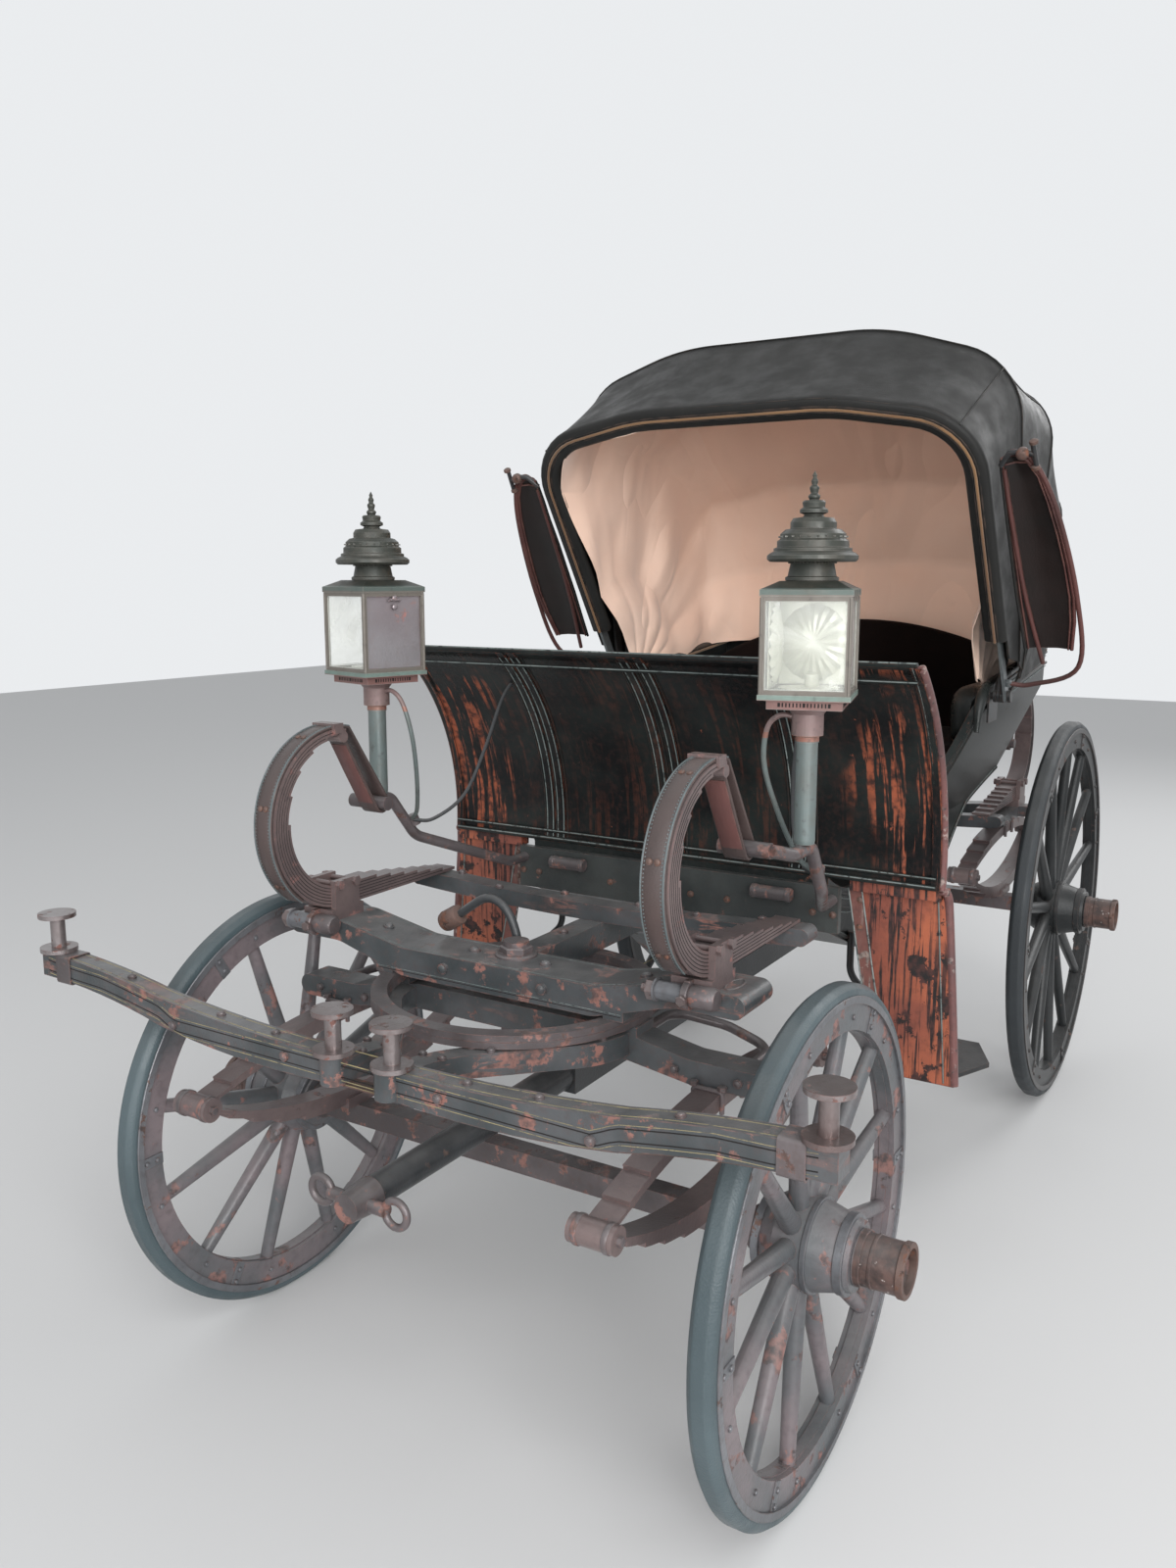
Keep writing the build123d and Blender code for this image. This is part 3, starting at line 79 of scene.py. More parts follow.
# Finishes: small helpers that wire a node tree, then one function for each kind of finish
class Wiring:
    def __init__(self, name):
        self.material = bpy.data.materials.new(name)
        self.material.use_nodes = True
        self.tree = self.material.node_tree
        self.shader = self.tree.nodes["Principled BSDF"]
        self.place = self.add("ShaderNodeTexCoord").outputs["Object"]

    def add(self, kind, **settings):
        node = self.tree.nodes.new(kind)
        for key, value in settings.items():
            setattr(node, key, value)
        return node

    def feed(self, socket, value):
        if hasattr(value, "is_output"):
            self.tree.links.new(value, socket)
        else:
            socket.default_value = value

    def stretched(self, scale, turn=(0, 0, 0)):
        node = self.add("ShaderNodeMapping")
        self.feed(node.inputs["Vector"], self.place)
        node.inputs["Scale"].default_value = scale
        node.inputs["Rotation"].default_value = turn
        return node.outputs["Vector"]

    def noise(self, scale, detail=4.0, rough=0.55, vector=None, twist=0.0):
        node = self.add("ShaderNodeTexNoise")
        self.feed(node.inputs["Vector"], self.place if vector is None else vector)
        node.inputs["Scale"].default_value = scale
        node.inputs["Detail"].default_value = detail
        node.inputs["Roughness"].default_value = rough
        node.inputs["Distortion"].default_value = twist
        return node.outputs["Fac"]

    def between(self, value, low, high, start=0.0, end=1.0):
        node = self.add("ShaderNodeMapRange", interpolation_type="SMOOTHSTEP")
        self.feed(node.inputs["Value"], value)
        for key, number in (("From Min", low), ("From Max", high), ("To Min", start), ("To Max", end)):
            self.feed(node.inputs[key], number)
        return node.outputs["Result"]

    def math(self, how, a, b=0.0):
        node = self.add("ShaderNodeMath", operation=how)
        self.feed(node.inputs[0], a)
        self.feed(node.inputs[1], b)
        return node.outputs[0]

    def times(self, a, b):
        return self.math("MULTIPLY", a, b)

    def larger(self, a, b):
        return self.math("MAXIMUM", a, b)

    def mix(self, share, a, b):
        node = self.add("ShaderNodeMix", data_type="RGBA")
        self.feed(node.inputs["Factor"], share)
        for socket, value in ((node.inputs[6], a), (node.inputs[7], b)):
            self.feed(socket, (*value, 1.0) if isinstance(value, tuple) else value)
        return node.outputs[2]

    # How far the surface turns within a few millimetres: 0 on a flat, 1 on an edge.
    def edges(self, radius):
        bevel = self.add("ShaderNodeBevel", samples=4)
        bevel.inputs["Radius"].default_value = radius
        dot = self.add("ShaderNodeVectorMath", operation="DOT_PRODUCT")
        self.feed(dot.inputs[0], bevel.outputs["Normal"])
        self.feed(dot.inputs[1], self.add("ShaderNodeNewGeometry").outputs["Normal"])
        return self.between(dot.outputs["Value"], 0.97, 0.72)

    def part(self, vector, axis):
        split = self.add("ShaderNodeSeparateXYZ")
        self.feed(split.inputs[0], vector)
        return split.outputs[axis]

    def upward(self):
        return self.part(self.add("ShaderNodeNewGeometry").outputs["Normal"], "Z")

    # Distance from the carriage's middle line, in metres.
    def outward(self):
        return self.math("ABSOLUTE", self.part(self.place, "Y"))

    def relief(self, height, strength, distance=0.002, rounded=0.0):
        node = self.add("ShaderNodeBump")
        if rounded:
            bevel = self.add("ShaderNodeBevel", samples=6)
            bevel.inputs["Radius"].default_value = rounded
            self.feed(node.inputs["Normal"], bevel.outputs["Normal"])
        self.feed(node.inputs["Height"], height)
        node.inputs["Strength"].default_value = strength
        node.inputs["Distance"].default_value = distance
        self.feed(self.shader.inputs["Normal"], node.outputs["Normal"])

    def done(self, colour, rough, **plain):
        self.feed(self.shader.inputs["Base Color"], (*colour, 1.0) if isinstance(colour, tuple) else colour)
        self.feed(self.shader.inputs["Roughness"], rough)
        for key, value in plain.items():
            self.shader.inputs[key.replace("_", " ")].default_value = value
        return self.material


grime = {"rust": (0.105, 0.064, 0.055), "rustDark": (0.045, 0.033, 0.031), "rustSpeck": (0.42, 0.38, 0.36),
         "paintDust": (0.24, 0.235, 0.23), "leatherDust": (0.22, 0.215, 0.205), "leatherRub": 0.6}


# Old paint: two tones, streaks and chips down to primer, worn edges, and dust on what faces up.
# streakFrom and capFrom say how far out, in metres, the streaks and the rusty wheel caps begin.
def wornPaint(name, top, second, primer, deep, chips=0.5, chipSize=26.0, streaks=0.0,
              streakScale=(40, 40, 3), streakFrom=None, capFrom=None, edge=0.003, gloss=0.42, dust=0.25,
              metal=0.0, shine=0.35):
    w = Wiring(name)
    base = w.mix(w.between(w.noise(5.5, 5), 0.35, 0.68), top, second)
    base = w.mix(w.between(w.noise(70, 3), 0.45, 0.75, 0.0, 0.35), base, deep)
    if capFrom is not None:
        rust = w.mix(w.between(w.noise(48, 5), 0.35, 0.7), grime["rust"], grime["rustDark"])
        rust = w.mix(w.between(w.noise(105, 2), 0.68, 0.73), rust, grime["rustSpeck"])
        base = w.mix(w.between(w.outward(), capFrom, capFrom + 0.002), base, rust)
    flake = w.noise(chipSize, 7, 0.68)
    worn = w.between(flake, 0.70 - 0.2 * chips, 0.735 - 0.2 * chips)
    if streaks > 0:
        run = w.noise(1.0, 6, 0.62, w.stretched(streakScale), 0.4)
        zone = w.between(w.noise(2.6, 3), 0.66 - 0.3 * streaks, 0.80 - 0.3 * streaks)
        if streakFrom is not None:
            outer = w.between(w.outward(), streakFrom, streakFrom + 0.10)
            patches = w.between(w.noise(4.2, 3), 0.40, 0.52)
            zone = w.larger(w.times(zone, 0.12), w.times(outer, patches))
        worn = w.larger(worn, w.times(w.between(run, 0.50, 0.56), zone))
    rubbed = w.times(w.edges(edge), w.between(w.noise(38, 4), 0.36, 0.56))
    worn = w.larger(worn, w.times(rubbed, 0.85))
    under = w.mix(w.between(w.noise(55, 5), 0.38, 0.66), primer, deep)
    colour = w.mix(worn, base, under)
    grey = w.times(w.between(w.upward(), 0.15, 0.95), w.between(w.noise(16, 4), 0.2, 0.75, 0.25, 1.0))
    colour = w.mix(w.times(grey, dust), colour, grime["paintDust"])
    w.relief(w.math("SUBTRACT", w.noise(150, 3), w.times(worn, 0.7)), 0.25)
    rough = w.between(worn, 0, 1, gloss, gloss + 0.3)
    return w.done(colour, rough, Metallic=metal, Specular_IOR_Level=shine)


def leather(name, tone, second, edge, gloss=0.42, grain=520.0, dust=0.3, crease=9.0, shine=0.4, rounded=0.0):
    w = Wiring(name)
    colour = w.mix(w.between(w.noise(4, 4), 0.3, 0.7), tone, second)
    rub = w.times(w.edges(0.004), w.between(w.noise(30, 4), 0.4, 0.6, 0.0, grime["leatherRub"]))
    colour = w.mix(rub, colour, edge)
    grey = w.times(w.between(w.upward(), 0.2, 1.0), w.between(w.noise(11, 4), 0.25, 0.8, 0.3, 1.0))
    colour = w.mix(w.times(grey, dust), colour, grime["leatherDust"])
    cells = w.add("ShaderNodeTexVoronoi")
    w.feed(cells.inputs["Vector"], w.place)
    cells.inputs["Scale"].default_value = grain
    height = w.math("ADD", w.times(cells.outputs["Distance"], 0.35), w.noise(crease, 6, 0.7, None, 0.6))
    w.relief(height, 0.35, 0.003, rounded)
    rough = w.between(w.noise(14, 4), 0.3, 0.7, gloss - 0.08, gloss + 0.14)
    return w.done(colour, rough, Specular_IOR_Level=shine)


def cloth(name, tone, second, shade, weave=900.0, rough=0.9, sheen=0.3, stain=0.25, shine=0.3, creases=0.0):
    w = Wiring(name)
    colour = w.mix(w.between(w.noise(2.2, 4), 0.3, 0.7), tone, second)
    colour = w.mix(w.between(w.noise(7, 6, 0.7), 0.56, 0.72, 0.0, stain), colour, shade)
    over = w.add("ShaderNodeTexWave", wave_type="BANDS", bands_direction="X")
    under = w.add("ShaderNodeTexWave", wave_type="BANDS", bands_direction="Z")
    for node in (over, under):
        w.feed(node.inputs["Vector"], w.place)
        node.inputs["Scale"].default_value = weave
    thread = w.larger(over.outputs["Fac"], under.outputs["Fac"])
    loose = w.noise(1.6, 1.5, 0.4, w.stretched((1.0, 2.4, 0.9), (0.5, 0.3, 0)), 0.9)
    slack = w.math("ABSOLUTE", w.math("SUBTRACT", loose, 0.5))
    fine = w.math("ADD", w.times(thread, 0.3), w.noise(60, 4))
    w.relief(w.math("ADD", fine, w.times(slack, creases)), 0.18, 0.0015)
    return w.done(colour, rough, Sheen_Weight=sheen, Specular_IOR_Level=shine)


hoodLeather = leather("hoodLeather", (0.014, 0.014, 0.0135), (0.018, 0.0178, 0.017), (0.14, 0.09, 0.07),
                      gloss=0.46, dust=0.05, shine=0.22)
wornLeatherEdge = leather("wornLeatherEdge", (0.05, 0.022, 0.02), (0.10, 0.035, 0.03), (0.25, 0.12, 0.09),
                          gloss=0.5, dust=0.1)
liningCloth = cloth("liningCloth", (0.93, 0.70, 0.57), (0.87, 0.62, 0.49), (0.68, 0.46, 0.34), stain=0.15,
                    creases=800.0)
goldCord = cloth("goldCord", (0.20, 0.11, 0.05), (0.12, 0.062, 0.032), (0.05, 0.03, 0.02), weave=380.0,
                 stain=0.6)
bodyPaint = wornPaint("bodyPaint", (0.009, 0.011, 0.011), (0.017, 0.021, 0.020), (0.16, 0.055, 0.03),
                      (0.035, 0.03, 0.028), chips=0.25, streaks=0.1, gloss=0.32, dust=0.05, shine=0.2)
boardPaint = wornPaint("boardPaint", (0.026, 0.030, 0.030), (0.050, 0.055, 0.053), (0.15, 0.08, 0.065),
                       (0.04, 0.035, 0.033), chips=0.3, streaks=0.1, gloss=0.36, dust=0.2)
dashPaint = wornPaint("dashPaint", (0.008, 0.0085, 0.009), (0.018, 0.022, 0.021), (0.30, 0.085, 0.045),
                      (0.05, 0.024, 0.02), chips=0.1, streaks=0.8, streakScale=(6, 56, 3.0), gloss=0.26,
                      dust=0.03, streakFrom=0.37, shine=0.16)
wingPaint = wornPaint("wingPaint", (0.36, 0.105, 0.054), (0.20, 0.062, 0.043), (0.014, 0.012, 0.012),
                      (0.06, 0.025, 0.022), chips=0.8, chipSize=15, streaks=1.15, gloss=0.38, dust=0.04,
                      streakScale=(40, 95, 4.2))
wingEdge = wornPaint("wingEdge", (0.26, 0.095, 0.075), (0.15, 0.065, 0.055), (0.30, 0.24, 0.21),
                     (0.05, 0.03, 0.03), chips=0.55, chipSize=22, streaks=0.6, gloss=0.4, dust=0.05,
                     streakScale=(50, 80, 6))
gearPaint = wornPaint("gearPaint", (0.040, 0.047, 0.050), (0.082, 0.085, 0.090), (0.24, 0.115, 0.095),
                      (0.07, 0.052, 0.05), chips=0.68, chipSize=17, streaks=0.55, gloss=0.30, dust=0.5,
                      streakScale=(7, 7, 60), edge=0.004)
wheelPaint = wornPaint("wheelPaint", (0.085, 0.092, 0.098), (0.165, 0.135, 0.142), (0.235, 0.13, 0.115),
                       (0.065, 0.055, 0.056), chips=0.65, chipSize=14, gloss=0.34, dust=0.35, capFrom=0.68)
# A darker copy of the front wheels' paint for the rear wheels: painted shade.
shadedRearWheelPaint = wornPaint("shadedRearWheelPaint", (0.016, 0.018, 0.019), (0.032, 0.034, 0.035),
                           (0.09, 0.06, 0.052), (0.026, 0.022, 0.021), chips=0.42, chipSize=15, gloss=0.36,
                           dust=0.18, shine=0.25, capFrom=0.68)
ironPaint = wornPaint("ironPaint", (0.075, 0.065, 0.067), (0.135, 0.115, 0.118), (0.25, 0.13, 0.11),
                      (0.085, 0.055, 0.048), chips=0.72, chipSize=22, gloss=0.32, dust=0.35, metal=0.25)
rollerSteel = wornPaint("rollerSteel", (0.24, 0.215, 0.215), (0.16, 0.12, 0.115), (0.20, 0.10, 0.085),
                        (0.10, 0.07, 0.065), chips=0.6, chipSize=28, gloss=0.28, dust=0.3, metal=0.6)
blackIron = wornPaint("blackIron", (0.02, 0.022, 0.023), (0.045, 0.046, 0.048), (0.13, 0.075, 0.055),
                      (0.06, 0.04, 0.034), chips=0.45, chipSize=30, gloss=0.34, dust=0.3, metal=0.2)
springPaint = wornPaint("springPaint", (0.12, 0.092, 0.092), (0.18, 0.135, 0.13), (0.29, 0.15, 0.135),
                        (0.10, 0.08, 0.08), chips=0.5, chipSize=18, gloss=0.33, dust=0.2, metal=0.3)
polePaint = wornPaint("polePaint", (0.018, 0.02, 0.022), (0.038, 0.041, 0.044), (0.09, 0.06, 0.05),
                      (0.03, 0.026, 0.025), chips=0.3, gloss=0.33, dust=0.3)

coat = {"patina": (0.11, 0.094, 0.078), "patinaShare": 0.35, "edge": (0.36, 0.34, 0.31),
        "spots": (0.05, 0.045, 0.042), "rough": 0.42}


# Metal coated in bands of colour by height in metres, each pair saying up to where its colour runs.
def banded(name, bands, metal):
    w = Wiring(name)
    low, high = bands[0][0] - 0.2, bands[-1][0]
    ramp = w.add("ShaderNodeValToRGB")
    w.feed(ramp.inputs["Fac"], w.math("DIVIDE", w.math("SUBTRACT", w.part(w.place, "Z"), low), high - low))
    stops = ramp.color_ramp
    stops.interpolation = "CONSTANT"
    edge = 0.0
    for i, (top, colour) in enumerate(bands):
        stop = stops.elements[0] if i == 0 else (stops.elements[1] if i == 1 else stops.elements.new(edge))
        stop.position, stop.color = edge, (*colour, 1.0)
        edge = (top - low) / (high - low)
    dull = w.between(w.noise(24, 6, 0.65), 0.38, 0.7, 0.0, coat["patinaShare"])
    colour = w.mix(dull, ramp.outputs["Color"], coat["patina"])
    colour = w.mix(w.times(w.edges(0.0018), 0.55), colour, coat["edge"])
    colour = w.mix(w.between(w.noise(60, 5), 0.58, 0.72, 0.0, 0.45), colour, coat["spots"])
    w.relief(w.noise(220, 3), 0.12)
    rough = w.between(w.noise(30, 4), 0.3, 0.7, coat["rough"] - 0.1, coat["rough"] + 0.15)
    return w.done(colour, rough, Metallic=metal)


def clearGlass(name, tint):
    w = Wiring(name)
    smear = w.between(w.noise(9, 5, 0.6, None, 1.2), 0.42, 0.75, 0.16, 0.34)
    w.feed(w.shader.inputs["Alpha"], w.larger(smear, w.times(w.edges(0.004), 0.55)))
    w.relief(w.noise(14, 2), 0.05)
    return w.done(tint, w.between(smear, 0.16, 0.34, 0.04, 0.2))


plushCloth = cloth("plushCloth", (0.006, 0.0045, 0.004), (0.010, 0.0065, 0.006), (0.016, 0.011, 0.01),
                   weave=1400.0, rough=0.97, sheen=0.02, shine=0.08)
plushWelt = cloth("plushWelt", (0.012, 0.007, 0.006), (0.018, 0.011, 0.009), (0.008, 0.006, 0.005),
                  weave=600.0, sheen=0.03, shine=0.12)
flapLeather = leather("flapLeather", (0.011, 0.010, 0.0095), (0.019, 0.012, 0.011), (0.15, 0.08, 0.06),
                      gloss=0.36, dust=0.05, shine=0.25)
armLeather = leather("armLeather", (0.009, 0.0115, 0.011), (0.017, 0.020, 0.019), (0.09, 0.075, 0.05),
                     gloss=0.3, dust=0.1, shine=0.3)
braceLeather = leather("braceLeather", (0.082, 0.056, 0.052), (0.060, 0.045, 0.043), (0.19, 0.12, 0.105),
                       gloss=0.33, grain=640, dust=0.15)
braceInner = leather("braceInner", (0.135, 0.056, 0.050), (0.098, 0.046, 0.043), (0.24, 0.13, 0.11),
                     gloss=0.5, dust=0.1)
braceEdge = leather("braceEdge", (0.075, 0.10, 0.105), (0.11, 0.13, 0.135), (0.2, 0.2, 0.2), gloss=0.45,
                    dust=0.1)
slingLeather = leather("slingLeather", (0.03, 0.022, 0.019), (0.05, 0.036, 0.03), (0.13, 0.085, 0.06),
                       gloss=0.5, dust=0.35)
lampBands = (  # up to this height, this colour
    (1.252, (0.125, 0.155, 0.152)), (1.262, (0.26, 0.12, 0.09)), (1.313, (0.20, 0.135, 0.13)),
    (1.329, (0.19, 0.095, 0.085)), (1.338, (0.15, 0.21, 0.185)), (1.502, (0.14, 0.125, 0.108)),
    (1.514, (0.080, 0.105, 0.094)), (1.75, (0.031, 0.035, 0.029)),
)
lampPaint = banded("lampPaint", lampBands, metal=0.2)
paneGlass = clearGlass("paneGlass", (0.90, 0.92, 0.86))
lampSilver = wornPaint("lampSilver", (0.58, 0.59, 0.50), (0.48, 0.49, 0.40), (0.36, 0.33, 0.24),
                       (0.4, 0.4, 0.34), chips=0.15, chipSize=14, gloss=0.27, dust=0.0, metal=0.2)
doorMetal = wornPaint("doorMetal", (0.28, 0.265, 0.275), (0.22, 0.19, 0.20), (0.36, 0.17, 0.15),
                      (0.25, 0.21, 0.21), chips=0.35, chipSize=9, gloss=0.28, dust=0.05, metal=0.45)
# Near-black paint: painted shade for the lamp gallery's slots, the sling's holes and the gaps between spring
# leaves, and also the thin black lines on the splinter bar and transom.
holeShadeAndBlackLine = wornPaint("holeShadeAndBlackLine", (0.006, 0.005, 0.005), (0.01, 0.008, 0.008), (0.03, 0.02, 0.018),
                     (0.008, 0.007, 0.007), chips=0.1, dust=0.0, gloss=0.7)
tyreRubber = leather("tyreRubber", (0.070, 0.096, 0.106), (0.050, 0.070, 0.078), (0.15, 0.175, 0.185),
                     gloss=0.42, grain=300, dust=0.3, crease=30, rounded=0.009)
# A darker copy of the front tyres' rubber for the rear tyres: painted shade.
shadedRearRubber = leather("shadedRearRubber", (0.030, 0.035, 0.039), (0.022, 0.026, 0.029), (0.09, 0.10, 0.105),
                     gloss=0.55, grain=300, dust=0.35, crease=30, rounded=0.009)
lightLine = wornPaint("lightLine", (0.13, 0.16, 0.155), (0.22, 0.25, 0.24), (0.035, 0.045, 0.043),
                      (0.06, 0.07, 0.07), chips=0.75, chipSize=60, gloss=0.4, dust=0.0)
rimPaint = wornPaint("rimPaint", (0.15, 0.065, 0.06), (0.085, 0.045, 0.045), (0.30, 0.22, 0.20),
                     (0.03, 0.026, 0.026), chips=0.6, chipSize=30, gloss=0.33, dust=0.0)
channelSteel = wornPaint("channelSteel", (0.12, 0.125, 0.135), (0.20, 0.205, 0.22), (0.17, 0.10, 0.08),
                         (0.08, 0.07, 0.07), chips=0.5, chipSize=24, gloss=0.36, dust=0.2, metal=0.5)
rustIron = wornPaint("rustIron", (0.095, 0.06, 0.05), (0.15, 0.095, 0.08), (0.20, 0.09, 0.06),
                     (0.05, 0.035, 0.03), chips=0.8, chipSize=40, gloss=0.55, dust=0.2, metal=0.3)
strutSteel = wornPaint("strutSteel", (0.16, 0.175, 0.18), (0.09, 0.10, 0.105), (0.30, 0.33, 0.34),
                       (0.06, 0.06, 0.06), chips=0.35, chipSize=20, gloss=0.3, dust=0.1, metal=0.55)
yellowLine = wornPaint("yellowLine", (0.36, 0.30, 0.15), (0.26, 0.22, 0.12), (0.09, 0.085, 0.07),
                       (0.12, 0.11, 0.09), chips=0.75, chipSize=50, dust=0.0)
goldTrim = cloth("goldTrim", (0.22, 0.13, 0.055), (0.13, 0.075, 0.035), (0.04, 0.026, 0.016), weave=320.0,
                 stain=0.7)
nodeFinish = {
    bodyPaint: ["body_shell", "seat_box"],
    boardPaint: ["front_board"],
    dashPaint: ["dash_board"],
    wingPaint: ["dash_wings"],
    gearPaint: ["transom", "front_bed", "futchells", "splinter_bar", "hind_bed", "front_tail_bar",
                "rear_tail_bar", "perch"],
    wheelPaint: ["wheel_front_left", "wheel_front_right"],
    shadedRearWheelPaint: ["wheel_rear_left", "wheel_rear_right"],
    springPaint: ["front_c_springs", "rear_c_springs", "front_under_springs", "rear_under_springs"],
    rollerSteel: ["roller_bolts"],
    ironPaint: ["front_axle", "rear_axle", "bed_irons", "perch_bolt", "upper_wheel_plate",
                "lower_wheel_plate", "front_body_loops", "rear_body_loops", "pole_head"],
    blackIron: ["steps", "hood_pivots", "hood_bow_2", "hood_bow_3", "hood_bow_4"],
    strutSteel: ["hood_bow_1"],
    polePaint: ["stowed_pole"],
    lampPaint: ["lamp_left", "lamp_right"],
    tyreRubber: ["tyre_front_left", "tyre_front_right"],
    shadedRearRubber: ["tyre_rear_left", "tyre_rear_right"],
}
for finish, names in nodeFinish.items():
    for name in names:
        nodes[name].data.materials.clear()
        nodes[name].data.materials.append(finish)
print("finishes ready")


# Stage, lights and camera
room = {"floorHalf": 14.0, "floorGrey": 0.66, "floorRough": 0.85, "air": (0.96, 0.98, 1.0, 1),
        "airLight": 0.55, "airSeen": 0.86}
lights = {  # place, aim, width in metres, power in watts
    "window": ((5.5, 4.5, 6.0), (0, 0, 0.8), 4.5, 270),
    "fill": ((7.2, 1.2, 2.3), (-0.6, 0, 1.8), 2.6, 120),
    "doorway": ((5.4, 5.6, 2.6), (-0.7, -0.3, 1.6), 3.2, 330),
    "behind": ((-5.5, 2.0, 5.0), (0, 0, 1.2), 4.0, 130),
}
view = {"place": (3779.4, 1272.6, 1533.9), "toward": (-0.84025, -0.51618, -0.16592), "lens": 28.28,
        "sensor": 36.0, "near": 0.05}


def plainStage():
    w = Wiring("paleStage")
    w.done((room["floorGrey"],) * 3, room["floorRough"])
    mesh = bpy.data.meshes.new("floor")
    h = room["floorHalf"]
    mesh.from_pydata([(-h, -h, 0), (h, -h, 0), (h, h, 0), (-h, h, 0)], [], [(0, 1, 2, 3)])
    floor = bpy.data.objects.new("floor", mesh)
    bpy.context.scene.collection.objects.link(floor)
    mesh.materials.append(w.material)


def softLight(name, place, aim, size, power):
    data = bpy.data.lights.new(name, "AREA")
    data.shape, data.size, data.energy = "SQUARE", size, power
    lamp = bpy.data.objects.new(name, data)
    bpy.context.scene.collection.objects.link(lamp)
    lamp.location = place
    lamp.rotation_euler = (Vector(aim) - Vector(place)).to_track_quat("-Z", "Y").to_euler()


def studio():
    scene = bpy.context.scene
    world = bpy.data.worlds.new("paleRoom")
    scene.world = world
    world.use_nodes = True
    tree = world.node_tree
    back = tree.nodes["Background"]
    path = tree.nodes.new("ShaderNodeLightPath")
    level = tree.nodes.new("ShaderNodeMapRange")
    level.inputs["To Min"].default_value = room["airLight"]
    level.inputs["To Max"].default_value = room["airSeen"]
    seen = path.outputs["Is Camera Ray"]
    for kind in ("Is Glossy Ray", "Is Transmission Ray"):
        either = tree.nodes.new("ShaderNodeMath")
        either.operation = "MAXIMUM"
        tree.links.new(seen, either.inputs[0])
        tree.links.new(path.outputs[kind], either.inputs[1])
        seen = either.outputs[0]
    tree.links.new(seen, level.inputs["Value"])
    tree.links.new(level.outputs["Result"], back.inputs["Strength"])
    back.inputs["Color"].default_value = room["air"]
    for name, numbers in lights.items():
        softLight(name, *numbers)
    scene.view_settings.view_transform = "Standard"


def photoCamera():
    data = bpy.data.cameras.new("photoCamera")
    data.sensor_fit, data.sensor_width, data.lens = "AUTO", view["sensor"], view["lens"]
    data.clip_start = view["near"]
    camera = bpy.data.objects.new("photoCamera", data)
    bpy.context.scene.collection.objects.link(camera)
    camera.location = fromAxle(*view["place"])
    camera.rotation_euler = Vector(view["toward"]).to_track_quat("-Z", "Y").to_euler()
    bpy.context.scene.camera = camera


plainStage()
studio()
photoCamera()
print("stage ready")


def circle(radius, sides):
    turns = [2 * math.pi * k / sides for k in range(sides)]
    return [(radius * math.cos(a), radius * math.sin(a)) for a in turns]


